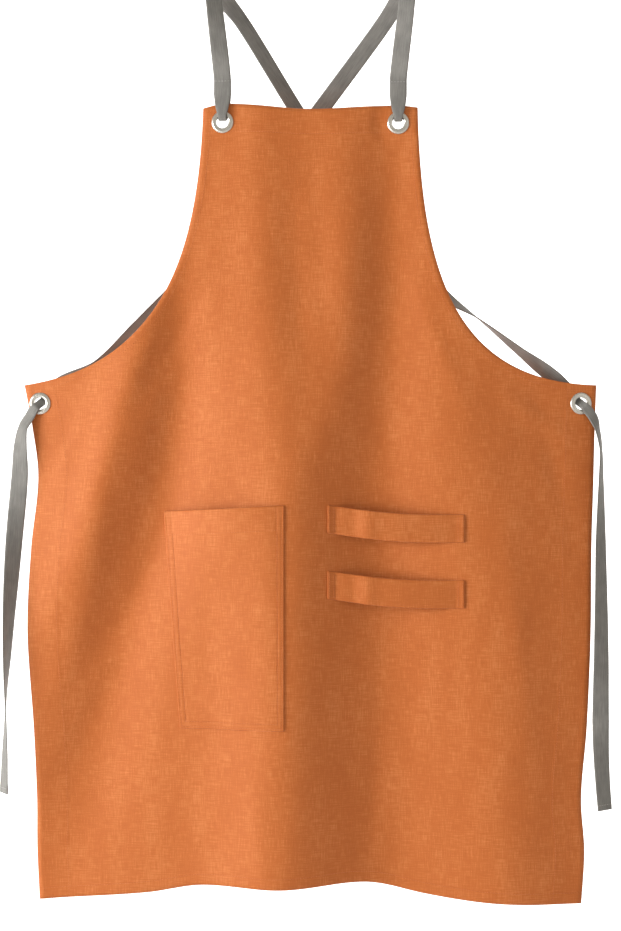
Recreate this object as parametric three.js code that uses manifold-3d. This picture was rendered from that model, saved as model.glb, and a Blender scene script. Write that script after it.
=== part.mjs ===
// A cross back apron of orange linen, as it hangs by its shoulder straps. The bib and skirt are
// one panel with its edges turned to the back, a patch pocket and two band loops on the front,
// and a metal eyelet with its washer in each of four corners. Each grey strap is sewn through a
// top eyelet, goes over the shoulder, crosses the back to the other side's eyelet, passes
// through it from behind and hangs down as a tie.
// Millimetres. X runs to the viewer's right, the front faces -Y and Z points up. The origin lies
// midway between the shoulder straps, at the underside of their tops, where a rail carries them.
// On the panel a place is (x, down): across from the centre line, and down from the bib's top.
// Its lift is how far the cloth stands towards the viewer from the plane that it hangs in.
import * as THREE from "three";
import { mergeVertices } from "three/addons/utils/BufferGeometryUtils.js";
import Module from "manifold-3d";

const wasm = await Module();
wasm.setup();

// The panel's driving sizes
const bibWidth = 248;
const bodyWidth = 668;
const panelLength = 908;
const armholeDrop = 322;
const hangDrop = 144;
const panelForward = 24;
const clothThickness = 1.2;
const sewnGap = 0.3;
const foldDepth = 28;
const sideSetback = 19;

// The turned hems
const topHem = 32;
const armholeHem = 10;
const sideHem = 36;
const bottomHem = 14;
const hemThickness = 1;

// The patch pocket
const pocketFromCentre = 31;
const pocketTopWidth = 140;
const pocketBottomWidth = 120;
const pocketDown = 462;
const pocketHeight = 258;
const pocketSlant = 8;
const pocketMouth = 10;

// The two band loops
const loopFromCentre = 20;
const loopLength = 158;
const loopHeight = 32;
const loopDown = 462;
const loopPitch = 76;
const loopSlant = 11;
const loopSag = 4;
const loopBow = 3;
const loopSeam = 9;

// The eyelets and their washers
const eyeletBore = 7;
const eyeletRadius = 13;
const eyeletWall = 0.6;
const eyeletCrown = 2.1;
const eyeletLip = 2.2;
const washerThickness = 0.9;
const topEyeletInset = 22;
const topEyeletDown = 18;
const sideEyeletInset = 18;
const sideEyeletDown = 21.5;

// The straps
const strapWidth = 20;
const strapThickness = 1.5;
const gatheredWidth = 9.5;
const gatheredThickness = 2.6;
const strapsApart = 226;
const railRadius = 30;
const tabLength = 50;
const crossDrop = 166;
const crossAcross = { left: 2, right: -8 };
const crossBehind = 24;
const crossSpacing = 8;
const tieLength = 462;
const tieUneven = { left: -9.5, right: 9.5 };
const tieHem = 10;
const tieHemThickness = 2.4;

// How finely the solids are faceted
const panelColumns = 34;
const panelRows = 25;
const pocketCells = 12;
const loopCells = { along: 16, down: 2 };
const eyeletSides = 16;
const strapStep = 24;
const twistStep = 9;

const bibHalf = bibWidth / 2;
const bodyHalf = bodyWidth / 2;
const sideLength = panelLength - armholeDrop;
const clothHalf = clothThickness / 2;

// Room round the finished panel in the pieces that it is cut from.
const clothMargin = 14;
const prismReach = 90;

// The panel's folds, each a ridge (or, with a rise below 0, a furrow) that runs down the cloth.
// Columns follow the levels, which are shares of the panel's length. Centre and spread are
// shares of half the body's width, and rise is a share of the fold depth.
const foldLevels = [0, 0.22, 0.38, 0.53, 0.7, 1];
const folds = [
  {
    name: "left crest",
    centre: [-0.45, -0.52, -0.63, -0.75, -0.87, -1],
    spread: [0.09, 0.1, 0.12, 0.135, 0.135, 0.135],
    rise: [0, 0.14, 0.5, 0.54, 0.2, 0],
  },
  {
    name: "left furrow",
    centre: [-0.39, -0.45, -0.47, -0.545, -0.68, -0.85],
    spread: [0.09, 0.08, 0.12, 0.135, 0.155, 0.18],
    rise: [0, -0.18, -0.42, -0.56, -0.6, -0.22],
  },
  {
    name: "main crest",
    centre: [-0.175, -0.165, -0.12, -0.09, -0.1, -0.11],
    spread: [0.115, 0.12, 0.175, 0.185, 0.2, 0.21],
    rise: [0.14, 0.28, 0.5, 0.75, 0.93, 1],
  },
  {
    name: "bib crest",
    centre: [0.1, 0.12, 0.085, 0, 0, 0],
    spread: [0.105, 0.105, 0.12, 0.12, 0.12, 0.12],
    rise: [0.04, 0.21, 0.21, 0, 0, 0],
  },
  {
    name: "right furrow",
    centre: [0.285, 0.285, 0.255, 0.235, 0.25, 0.265],
    spread: [0.095, 0.105, 0.135, 0.15, 0.15, 0.15],
    rise: [-0.14, -0.32, -0.36, -0.4, -0.32, -0.28],
  },
  {
    name: "right crest",
    centre: [0.45, 0.48, 0.54, 0.615, 0.665, 0.69],
    spread: [0.12, 0.135, 0.15, 0.165, 0.18, 0.195],
    rise: [0, 0, 0.14, 0.21, 0.36, 0.5],
  },
];

// How far the sides fall back behind the middle, as shares of the side setback.
const setbackRows = [
  { level: 0, back: 0.1 },
  { level: 0.22, back: 0.45 },
  { level: 0.38, back: 1 },
  { level: 0.53, back: 0.9 },
  { level: 0.7, back: 0.5 },
  { level: 1, back: 0.3 },
];

// The bib's top edge dips between the eyelets. Across is a share of half the bib's width, and
// drop is a share of the bib's width.
const bibEdgeRows = [
  { across: -1, drop: 0.008 },
  { across: -0.8, drop: -0.012 },
  { across: 0, drop: 0.012 },
  { across: 0.8, drop: -0.008 },
  { across: 1, drop: 0.002 },
];

// How the hanging skirt's side edges draw in. Level is a share of the side's length, and left and
// right are shares of half the body's width.
const sideEdgeRows = [
  { level: 0, left: 0, right: 0 },
  { level: 0.08, left: 0.027, right: 0.005 },
  { level: 0.18, left: 0.049, right: 0.01 },
  { level: 0.32, left: 0.025, right: 0.019 },
  { level: 0.48, left: 0.015, right: 0.024 },
  { level: 0.66, left: 0.037, right: 0.039 },
  { level: 0.8, left: 0.048, right: 0.06 },
  { level: 0.9, left: 0.049, right: 0.049 },
  { level: 1, left: 0.057, right: 0.06 },
];

// The bottom edge rides up under the folds. Across is a share of half the hem's width, and drop
// is a share of the panel's length.
const bottomEdgeRows = [
  { across: -1, drop: 0.014 },
  { across: -0.6, drop: 0.003 },
  { across: -0.4, drop: -0.008 },
  { across: -0.1, drop: -0.0065 },
  { across: 0.2, drop: -0.01 },
  { across: 0.42, drop: 0.0045 },
  { across: 0.6, drop: 0.0125 },
  { across: 0.8, drop: 0.0165 },
  { across: 1, drop: 0.0175 },
];

// The armhole's two handles. Out is a share of the way from the bib's side to the body's side,
// and down is a share of the armhole's drop.
const armholeHandles = {
  left: [
    { out: 0.03, down: 0.66 },
    { out: 0.35, down: 0.94 },
  ],
  right: [
    { out: 0.02, down: 0.68 },
    { out: 0.27, down: 0.99 },
  ],
};

// A smooth line through rows of a table: a Hermite piece between each pair of rows, whose slope
// at a row is that of the line between its two neighbours.
function smoothLine(at, values) {
  const last = at.length - 1;
  const slopes = values.map((_, i) => {
    const before = Math.max(i - 1, 0);
    const after = Math.min(i + 1, last);
    return (values[after] - values[before]) / (at[after] - at[before]);
  });
  return (place) => {
    const x = Math.min(Math.max(place, at[0]), at[last]);
    const i = Math.min(at.findLastIndex((start) => start <= x), last - 1);
    const step = at[i + 1] - at[i];
    const s = (x - at[i]) / step;
    const fromStart = values[i] * (1 + 2 * s) + slopes[i] * step * s;
    const fromEnd = values[i + 1] * (3 - 2 * s) + slopes[i + 1] * step * (s - 1);
    return fromStart * (1 - s) ** 2 + fromEnd * s ** 2;
  };
}

function smoothColumn(rows, key, column) {
  return smoothLine(
    rows.map((row) => row[key]),
    rows.map((row) => row[column]),
  );
}

const foldLines = folds.map((fold) => ({
  centre: smoothLine(foldLevels, fold.centre),
  spread: smoothLine(foldLevels, fold.spread),
  rise: smoothLine(foldLevels, fold.rise),
}));
const setback = smoothColumn(setbackRows, "level", "back");
const bibEdge = smoothColumn(bibEdgeRows, "across", "drop");
const bottomEdge = smoothColumn(bottomEdgeRows, "across", "drop");
const sideEdge = {
  left: smoothColumn(sideEdgeRows, "level", "left"),
  right: smoothColumn(sideEdgeRows, "level", "right"),
};

// The cloth's lift before the eyelets press it flat: each fold's bell across the panel, less the
// way that the sides fall back, which grows with the cube of the distance from the middle.
function drapeLift(x, down) {
  const level = down / panelLength;
  const across = x / bodyHalf;
  const ridges = foldLines.reduce((sum, fold) => {
    const away = (across - fold.centre(level)) / fold.spread(level);
    return sum + fold.rise(level) * Math.exp(-away * away);
  }, 0);
  return foldDepth * ridges - sideSetback * setback(level) * Math.abs(across) ** 3;
}

// The four eyelets' centres on the panel.
const eyelets = [
  { name: "top_left", x: topEyeletInset - bibHalf, down: topEyeletDown },
  { name: "top_right", x: bibHalf - topEyeletInset, down: topEyeletDown },
  { name: "side_left", x: sideEyeletInset - bodyHalf, down: armholeDrop + sideEyeletDown },
  { name: "side_right", x: bodyHalf - sideEyeletInset, down: armholeDrop + sideEyeletDown },
];

// Each eyelet clamps the cloth to the plane that touches the drape at its centre.
const slopeStep = 1;
for (const eyelet of eyelets) {
  const { x, down } = eyelet;
  eyelet.lift = drapeLift(x, down);
  eyelet.slopeAcross = (drapeLift(x + slopeStep, down) - drapeLift(x - slopeStep, down)) / 2;
  eyelet.slopeDown = (drapeLift(x, down + slopeStep) - drapeLift(x, down - slopeStep)) / 2;
}
const flatRadius = eyeletRadius + 3;
const flatFade = 20;

// The lift of the cloth's middle surface: the drape, blended into each eyelet's plane round it.
function lift(x, down) {
  return eyelets.reduce((height, eyelet) => {
    const [across, below] = [x - eyelet.x, down - eyelet.down];
    const fade = (Math.hypot(across, below) - flatRadius) / flatFade;
    const hold = 1 - THREE.MathUtils.smoothstep(fade, 0, 1);
    const plane = eyelet.lift + eyelet.slopeAcross * across + eyelet.slopeDown * below;
    return height + (plane - height) * hold;
  }, drapeLift(x, down));
}

function onPanel(x, down, height) {
  return new THREE.Vector3(x, -panelForward - height, -hangDrop - down);
}

// The panel's outline in six edges, each a function of its share from the first corner. They run
// from the left side corner over the bib to the right one, and down the sides and along the hem.
function armholeCurve(side) {
  const sign = side === "left" ? -1 : 1;
  const [upper, lower] = armholeHandles[side].map(
    (handle) =>
      new THREE.Vector2(
        sign * (bibHalf + handle.out * (bodyHalf - bibHalf)),
        handle.down * armholeDrop,
      ),
  );
  return new THREE.CubicBezierCurve(
    new THREE.Vector2(sign * bibHalf, bibEdge(sign) * bibWidth),
    upper,
    lower,
    new THREE.Vector2(sign * bodyHalf, armholeDrop),
  );
}
const armholes = { left: armholeCurve("left"), right: armholeCurve("right") };

function bibEdgePoint(share) {
  const across = 2 * share - 1;
  return new THREE.Vector2(across * bibHalf, bibEdge(across) * bibWidth);
}

function sidePoint(side, share) {
  const sign = side === "left" ? -1 : 1;
  const hemDrop = bottomEdge(sign) * panelLength;
  return new THREE.Vector2(
    sign * bodyHalf * (1 - sideEdge[side](share)),
    armholeDrop + share * (sideLength + hemDrop),
  );
}

function bottomPoint(share) {
  const across = 2 * share - 1;
  const left = sidePoint("left", 1).x;
  const right = sidePoint("right", 1).x;
  return new THREE.Vector2(
    left + share * (right - left),
    panelLength * (1 + bottomEdge(across)),
  );
}

// A closed sheet of cloth: a grid on its front, the same grid on its back, and a wall round its
// edge. place(a, b) gives (x, down) for shares a and b, and front and back give its two lifts.
// The cells are halved along the way that the folds spread, down and out from the middle.
function sheetSolid(columns, rows, place, front, back) {
  const positions = [];
  for (const surface of [front, back]) {
    for (let row = 0; row <= rows; row += 1) {
      for (let column = 0; column <= columns; column += 1) {
        const [a, b] = [column / columns, row / rows];
        const { x, y: down } = place(a, b);
        positions.push(...onPanel(x, down, surface(x, down, a, b)).toArray());
      }
    }
  }
  const layer = (columns + 1) * (rows + 1);
  const index = (column, row) => row * (columns + 1) + column;
  const faces = [];
  const quad = (a, b, c, d) => faces.push(a, b, c, a, c, d);
  for (let row = 0; row < rows; row += 1) {
    for (let column = 0; column < columns; column += 1) {
      const corners = [
        index(column, row),
        index(column, row + 1),
        index(column + 1, row + 1),
        index(column + 1, row),
      ];
      if (column < columns / 2) {
        corners.push(corners.shift());
      }
      quad(...corners);
      const [a, b, c, d] = corners.map((corner) => corner + layer);
      quad(a, d, c, b);
    }
  }
  const rim = [
    ...Array.from({ length: columns }, (_, i) => index(i, 0)),
    ...Array.from({ length: rows }, (_, i) => index(columns, i)),
    ...Array.from({ length: columns }, (_, i) => index(columns - i, rows)),
    ...Array.from({ length: rows }, (_, i) => index(0, rows - i)),
  ];
  rim.forEach((from, i) => {
    const to = rim[(i + 1) % rim.length];
    quad(from, to, to + layer, from + layer);
  });
  const geometry = new THREE.BufferGeometry();
  geometry.setAttribute("position", new THREE.Float32BufferAttribute(positions, 3));
  geometry.setIndex(faces);
  return solidOf(geometry);
}

function solidOf(geometry) {
  const bare = geometry.clone();
  bare.deleteAttribute("normal");
  bare.deleteAttribute("uv");
  const merged = mergeVertices(bare, 1e-4);
  return new wasm.Manifold(
    new wasm.Mesh({
      numProp: 3,
      vertProperties: new Float32Array(merged.attributes.position.array),
      triVerts: new Uint32Array(merged.index.array),
    }),
  );
}

function geometryOf(solid) {
  const mesh = solid.getMesh();
  const geometry = new THREE.BufferGeometry();
  geometry.setAttribute("position", new THREE.BufferAttribute(mesh.vertProperties, 3));
  geometry.setIndex(new THREE.BufferAttribute(mesh.triVerts, 1));
  geometry.computeVertexNormals();
  return geometry;
}

// A prism through the cloth over an outline of (x, down) points.
function prismSolid(points) {
  const shape = new THREE.Shape(points.map((point) => new THREE.Vector2(point.x, -point.y)));
  const geometry = new THREE.ExtrudeGeometry(shape, {
    depth: 2 * prismReach,
    bevelEnabled: false,
  });
  geometry.translate(0, 0, -prismReach);
  geometry.rotateX(Math.PI / 2);
  geometry.translate(0, -panelForward, -hangDrop);
  return solidOf(geometry);
}

// The six edges, walked clockwise as seen from the front, each with the width of its hem.
const edges = [
  { hem: armholeHem, segments: 14, at: (s) => armholes.left.getPoint(1 - s) },
  { hem: topHem, segments: 10, at: bibEdgePoint },
  { hem: armholeHem, segments: 14, at: (s) => armholes.right.getPoint(s) },
  { hem: sideHem, segments: 12, at: (s) => sidePoint("right", s) },
  { hem: bottomHem, segments: 20, at: (s) => bottomPoint(1 - s) },
  { hem: sideHem, segments: 12, at: (s) => sidePoint("left", 1 - s) },
];
const tangentStep = 0.004;

function directionAt(edge, share) {
  const from = edge.at(Math.max(share - tangentStep, 0));
  return edge.at(Math.min(share + tangentStep, 1)).sub(from).normalize();
}

// Points along an edge, moved into the cloth by an inset, or out of it where that is negative.
function edgePoints(edge, inset) {
  return Array.from({ length: edge.segments + 1 }, (_, i) => {
    const share = i / edge.segments;
    const along = directionAt(edge, share);
    return edge.at(share).add(new THREE.Vector2(-along.y, along.x).multiplyScalar(inset));
  });
}

// A hem's band reaches past both corners, where the outline trims it.
function hemBand(edge) {
  const outer = edgePoints(edge, -clothMargin);
  const inner = edgePoints(edge, edge.hem);
  const past = topHem + sideHem + clothMargin;
  const start = directionAt(edge, 0).multiplyScalar(-past);
  const end = directionAt(edge, 1).multiplyScalar(past);
  return prismSolid([
    outer[0].clone().add(start),
    ...outer,
    outer.at(-1).clone().add(end),
    inner.at(-1).clone().add(end),
    ...inner.toReversed(),
    inner[0].clone().add(start),
  ]);
}

// A sheet that holds the panel's drape and is larger than the panel all round. Its faces stand
// in front of the cloth's middle surface and behind it by the two distances.
const lowestHem = Math.max(...bottomEdgeRows.map((row) => row.drop)) * panelLength;

function drapedSheet(before, behind) {
  const place = (a, b) =>
    new THREE.Vector2(
      (2 * a - 1) * (bodyHalf + clothMargin),
      THREE.MathUtils.lerp(-clothMargin, panelLength + lowestHem + clothMargin, b),
    );
  return sheetSolid(
    panelColumns,
    panelRows,
    place,
    (x, down) => lift(x, down) + before,
    (x, down) => lift(x, down) - behind,
  );
}

// The panel is cut from the sheet by its outline, with its hems doubled at the back.
function panelSolid() {
  const outline = prismSolid(edges.flatMap((edge) => edgePoints(edge, 0).slice(1)));
  const bands = edges.map(hemBand).reduce((all, band) => all.add(band));
  const doubled = drapedSheet(0, clothHalf + hemThickness).intersect(bands);
  return drapedSheet(clothHalf, clothHalf).add(doubled).intersect(outline);
}

// Pieces that are sewn on keep clear of the room round the panel's cloth.
const panelRoom = drapedSheet(clothHalf + sewnGap, clothHalf + sewnGap);

function sewnPiece(columns, rows, place, front, back) {
  return sheetSolid(columns, rows, place, front, back).subtract(panelRoom);
}

// The pocket's outline, its left side leaning in with the drape and its mouth sloping a little.
function pocketPlace(a, b) {
  const width = THREE.MathUtils.lerp(pocketTopWidth, pocketBottomWidth, b);
  return new THREE.Vector2(
    -pocketFromCentre - width * (1 - a),
    pocketDown + pocketSlant * (1 - a) * (1 - b) + pocketHeight * b,
  );
}

// The mouth stands open in the middle, and the gap closes towards the sides and the bottom.
function pocketGape(a, b) {
  return pocketMouth * Math.sin(Math.PI * a) ** 1.2 * (1 - b) ** 2;
}

function pocketSolid() {
  const seat = (x, down, a, b) => lift(x, down) + clothHalf + sewnGap + pocketGape(a, b);
  const front = (x, down, a, b) => seat(x, down, a, b) + clothThickness;
  return sewnPiece(pocketCells, pocketCells, pocketPlace, front, seat);
}

// A band loop is sewn down at both ends and spans the furrow between them like a bridge.
function loopSolid(order) {
  const start = loopDown + order * loopPitch;
  const place = (a, b) =>
    new THREE.Vector2(
      loopFromCentre + loopLength * a,
      start + loopSlant * a + loopSag * Math.sin(Math.PI * a) + loopHeight * b,
    );
  const seam = loopSeam / loopLength;
  const endLift = (a, b) => {
    const { x, y: down } = place(a, b);
    return lift(x, down);
  };
  const seat = (x, down, a, b) => {
    const span = THREE.MathUtils.clamp((a - seam) / (1 - 2 * seam), 0, 1);
    const chord = THREE.MathUtils.lerp(endLift(seam, b), endLift(1 - seam, b), span);
    const bridge = chord + loopBow * Math.sin(Math.PI * span);
    const free = span > 0 && span < 1;
    return (free ? Math.max(lift(x, down), bridge) : lift(x, down)) + clothHalf + sewnGap;
  };
  const front = (x, down, a, b) => seat(x, down, a, b) + clothThickness;
  return sewnPiece(loopCells.along, loopCells.down, place, front, seat);
}

// An eyelet's own frame: out is towards the viewer, up runs up the cloth, and side is across it.
function eyeletFrame(eyelet) {
  const out = new THREE.Vector3(-eyelet.slopeAcross, -1, eyelet.slopeDown).normalize();
  return { centre: onPanel(eyelet.x, eyelet.down, eyelet.lift), out };
}

// Turns a lathe's solid, whose axis is +Y, so that its axis points out of the cloth.
function onEyelet(solid, eyelet) {
  const { centre, out } = eyeletFrame(eyelet);
  const turn = new THREE.Quaternion().setFromUnitVectors(new THREE.Vector3(0, 1, 0), out);
  const matrix = new THREE.Matrix4().compose(centre, turn, new THREE.Vector3(1, 1, 1));
  return solid.transform(matrix.elements);
}

function latheSolid(profile) {
  const points = [...profile, profile[0]].map(([r, h]) => new THREE.Vector2(r, h));
  return solidOf(new THREE.LatheGeometry(points, eyeletSides));
}

const frontFace = clothHalf + sewnGap;
const barrel = eyeletBore + eyeletWall;

const backFace = -(clothHalf + hemThickness + sewnGap);

// The eyelet's ring: a rounded flange on the front, the barrel through the cloth, and the lip
// that is rolled out over the washer behind.
function eyeletProfile() {
  const washerBack = backFace - washerThickness;
  const lipTop = washerBack - sewnGap;
  const crown = frontFace + eyeletCrown;
  const flange = eyeletRadius - eyeletBore;
  return [
    [eyeletBore, crown - 0.55 * eyeletCrown],
    [eyeletBore, lipTop - eyeletWall * 0.5],
    [eyeletBore + 0.4 * eyeletWall, lipTop - eyeletWall],
    [barrel + eyeletLip * 0.7, lipTop - eyeletWall],
    [barrel + eyeletLip, lipTop],
    [barrel, lipTop],
    [barrel, frontFace],
    [eyeletRadius, frontFace],
    [eyeletRadius - 0.06 * flange, frontFace + 0.4 * eyeletCrown],
    [eyeletRadius - 0.28 * flange, frontFace + 0.88 * eyeletCrown],
    [eyeletRadius - 0.58 * flange, crown],
    [eyeletRadius - 0.86 * flange, crown - 0.18 * eyeletCrown],
  ];
}

function washerProfile() {
  const face = backFace;
  const inner = barrel + sewnGap;
  return [
    [inner, face],
    [inner, face - washerThickness],
    [eyeletRadius - 0.5 * washerThickness, face - washerThickness],
    [eyeletRadius, face - 0.5 * washerThickness],
    [eyeletRadius, face],
  ];
}

function discSolid(radius, low, high) {
  const geometry = new THREE.CylinderGeometry(radius, radius, high - low, eyeletSides);
  geometry.translate(0, (low + high) / 2, 0);
  return solidOf(geometry);
}

// What an eyelet takes out of the cloth: its hole, and the room of the flange and the washer.
const seatReach = 6;
function eyeletRoom(eyelet) {
  const hole = barrel + sewnGap;
  const seat = eyeletRadius + sewnGap;
  const back = backFace + sewnGap;
  const cutter = discSolid(hole, -seatReach, seatReach)
    .add(discSolid(seat, clothHalf, seatReach))
    .add(discSolid(seat, -seatReach, back));
  return onEyelet(cutter, eyelet);
}
const eyeletRooms = eyelets.map(eyeletRoom);

function withEyeletHoles(solid) {
  return eyeletRooms.reduce((cloth, room) => cloth.subtract(room), solid);
}

// A strap's station: its centre, the direction of its width and its section there. Turn is how
// far the strap leans from upright, and roll is how far it is turned edge on to the viewer.
function sideways(mirror, turn, roll) {
  const [lean, twist] = [turn, roll].map(THREE.MathUtils.degToRad);
  return new THREE.Vector3(
    Math.cos(twist) * Math.cos(lean),
    mirror * Math.sin(twist),
    mirror * Math.cos(twist) * Math.sin(lean),
  );
}

// A strap's way through an eyelet: where it lies against the ring, in front or behind, its middle
// is this far from the cloth's middle surface.
const frontOut = frontFace + eyeletCrown + sewnGap + gatheredThickness / 2;
const lipBack = backFace - washerThickness - sewnGap - eyeletWall;
const backOut = lipBack - sewnGap - gatheredThickness / 2;

// The bend round the hole's edge. Reach is a share of the eyelet's radius, out is a share of the
// distance above, and spread is how far the gathered tape has opened out.
const bendRows = [
  { reach: 0.27, out: 0.66, spread: 0 },
  { reach: 0.42, out: 1.08, spread: 0.05 },
  { reach: 0.72, out: 1.12, spread: 0.2 },
  { reach: 1, out: 1, spread: 0.4 },
];
const hookReach = 0.22;

function throughEyelet(eyelet, way, rows) {
  const { centre, out } = eyeletFrame(eyelet);
  const across = new THREE.Vector3().crossVectors(way, out).normalize();
  const along = new THREE.Vector3().crossVectors(out, across).normalize();
  return rows.map((row) => ({
    centre: centre.clone().addScaledVector(along, row.along).addScaledVector(out, row.out),
    width: THREE.MathUtils.lerp(gatheredWidth, strapWidth, row.spread),
    thickness: THREE.MathUtils.lerp(gatheredThickness, strapThickness, row.spread),
    side: across.clone(),
  }));
}

function bend(direction, distance) {
  return bendRows.map((row) => ({
    along: direction * row.reach * eyeletRadius,
    out: row.out * distance,
    spread: row.spread,
  }));
}

// The sewn tab: the tape's end behind the panel and the same tape in front of it are stitched
// together above the bib. Up is a share of the way from the bib's edge to the tab's end, and
// apart is a share of the way from the stitched tape to the tape that lies on the eyelet.
const tabRows = [
  { up: 0.12, apart: 0.72, spread: 0.75 },
  { up: 0.45, apart: 0.12, spread: 1 },
  { up: 0.8, apart: 0.03, spread: 1 },
  { up: 1, apart: 0, spread: 1 },
];

function tabLayer(distance) {
  const joined = Math.sign(distance) * (strapThickness / 2 + sewnGap);
  return tabRows.map((row) => ({
    along: THREE.MathUtils.lerp(topEyeletDown, tabLength, row.up),
    out: THREE.MathUtils.lerp(joined, distance, row.apart),
    spread: row.spread,
  }));
}

function tabStations(eyelet) {
  return throughEyelet(eyelet, new THREE.Vector3(0, 0, 1), [
    ...tabLayer(backOut).toReversed(),
    ...bend(1, backOut).toReversed(),
    { along: hookReach * eyeletRadius, out: 0, spread: 0 },
    ...bend(1, frontOut),
    ...tabLayer(frontOut),
  ]);
}

// Over the rail: the strap's middle runs on a half circle round it, and leans towards the
// crossing behind. Angle is measured round the rail from the front, and outward is a share of
// the rail's radius.
const railRows = {
  left: [
    { angle: 0, outward: -0.07, turn: 0, roll: 20 },
    { angle: 45, outward: 0, turn: 2, roll: 8 },
    { angle: 90, outward: -0.07, turn: 9, roll: 0 },
    { angle: 135, outward: -0.38, turn: 20, roll: 8 },
    { angle: 180, outward: -1, turn: 31, roll: 24 },
  ],
  right: [
    { angle: 0, outward: -0.07, turn: 0, roll: 20 },
    { angle: 45, outward: 0, turn: 2, roll: 8 },
    { angle: 90, outward: -0.07, turn: 9, roll: 0 },
    { angle: 135, outward: -0.3, turn: 20, roll: 0 },
    { angle: 180, outward: -0.77, turn: 31, roll: 6 },
  ],
};

function railStations(from, mirror) {
  const radius = railRadius + strapThickness / 2;
  return railRows[from].map((row) => {
    const angle = THREE.MathUtils.degToRad(row.angle);
    return {
      centre: new THREE.Vector3(
        mirror * (strapsApart / 2 + row.outward * railRadius),
        -radius * Math.cos(angle),
        radius * Math.sin(angle) - railRadius,
      ),
      width: strapWidth,
      thickness: strapThickness,
      side: sideways(-mirror, row.turn, row.roll),
    };
  });
}

// Across the back, from the crossing to the side eyelet. Out and down are shares of the way
// between them, and near is the share of the way from the crossing's depth to the eyelet's.
const backRows = {
  left: [
    { out: 0, down: 0, near: 0, turn: 38, roll: 28 },
    { out: 0.24, down: 0.305, near: 0.1, turn: 40, roll: 30 },
    { out: 0.49, down: 0.59, near: 0.3, turn: 44, roll: 40 },
    { out: 0.632, down: 0.69, near: 0.45, turn: 48, roll: 86 },
    { out: 0.79, down: 0.815, near: 0.65, turn: 52, roll: 114 },
  ],
  right: [
    { out: 0, down: 0, near: 0, turn: 38, roll: 4 },
    { out: 0.22, down: 0.3, near: 0.1, turn: 40, roll: -20 },
    { out: 0.467, down: 0.55, near: 0.3, turn: 43, roll: -52 },
    { out: 0.631, down: 0.706, near: 0.45, turn: 45, roll: -60 },
    { out: 0.795, down: 0.868, near: 0.6, turn: 46, roll: -45 },
  ],
};

function backStations(from, mirror, eyelet, depth) {
  const { centre, out } = eyeletFrame(eyelet);
  const target = centre.clone().addScaledVector(out, backOut);
  const start = new THREE.Vector3(crossAcross[from], depth, -crossDrop);
  return backRows[from].map((row) => ({
    centre: new THREE.Vector3(
      THREE.MathUtils.lerp(start.x, target.x, row.out),
      THREE.MathUtils.lerp(start.y, target.y, row.near),
      THREE.MathUtils.lerp(start.z, target.z, row.down),
    ),
    width: strapWidth,
    thickness: strapThickness,
    side: sideways(mirror, row.turn, row.roll),
  }));
}

// Through the side eyelet from behind, over its ring and down past the panel's edge.
const passLean = 43;
const passStart = { reach: 2.3, depth: 1.35, spread: 0.6 };

function sidePassStations(eyelet, mirror) {
  const lean = THREE.MathUtils.degToRad(passLean);
  const way = new THREE.Vector3(mirror * Math.sin(lean), 0, -Math.cos(lean));
  return throughEyelet(eyelet, way, [
    {
      along: -passStart.reach * eyeletRadius,
      out: passStart.depth * backOut,
      spread: passStart.spread,
    },
    ...bend(-1, backOut).toReversed(),
    { along: 0, out: 0, spread: 0 },
    ...bend(1, frontOut).slice(0, -1),
  ]);
}

// The hanging ties. Down is a share of the tie's length, outward is a share of the eyelet's inset
// from the panel's edge, and forward, from the cloth at that level, a share of the tape's width.
const tieRows = {
  left: [
    { down: 0.034, outward: 0.66, forward: 0.26, turn: 32, roll: 20, spread: 0.3 },
    { down: 0.062, outward: 1.08, forward: 0.37, turn: 24, roll: 40, spread: 0.6 },
    { down: 0.105, outward: 1.24, forward: 0.42, turn: 10, roll: 30, spread: 0.9 },
    { down: 0.185, outward: 1.27, forward: 0.45, turn: 3, roll: 8, spread: 1 },
    { down: 0.36, outward: 1.62, forward: 0.45, turn: 4, roll: -22, spread: 1 },
    { down: 0.545, outward: 1.9, forward: 0.4, turn: 3, roll: -54, spread: 1 },
    { down: 0.65, outward: 2, forward: 0.4, turn: 1, roll: -72, spread: 1 },
    { down: 0.725, outward: 2.08, forward: 0.35, turn: 0, roll: -88, spread: 1 },
    { down: 0.81, outward: 2.1, forward: 0.35, turn: 0, roll: -104, spread: 1 },
    { down: 0.9, outward: 2.15, forward: 0.3, turn: 0, roll: -117, spread: 1 },
    { down: 1, outward: 2.22, forward: 0.3, turn: 2, roll: -126, spread: 1 },
  ],
  right: [
    { down: 0.034, outward: 0.76, forward: 0.3, turn: 32, roll: 24, spread: 0.3 },
    { down: 0.062, outward: 1.02, forward: 0.42, turn: 18, roll: 62, spread: 0.6 },
    { down: 0.115, outward: 1.24, forward: 0.58, turn: 4, roll: 74, spread: 0.9 },
    { down: 0.19, outward: 1.24, forward: 0.58, turn: 0, roll: 66, spread: 1 },
    { down: 0.34, outward: 1.2, forward: 0.54, turn: 0, roll: 45, spread: 1 },
    { down: 0.46, outward: 1.2, forward: 0.52, turn: 0, roll: 36, spread: 1 },
    { down: 0.61, outward: 1.18, forward: 0.5, turn: 0, roll: 23, spread: 1 },
    { down: 0.78, outward: 1.13, forward: 0.45, turn: 1, roll: 6, spread: 1 },
    { down: 0.86, outward: 1.15, forward: 0.5, turn: 3, roll: 16, spread: 1 },
    { down: 0.94, outward: 1.26, forward: 0.5, turn: 4, roll: 24, spread: 1 },
    { down: 1, outward: 1.38, forward: 0.5, turn: 4, roll: 26, spread: 1 },
  ],
};

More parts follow.
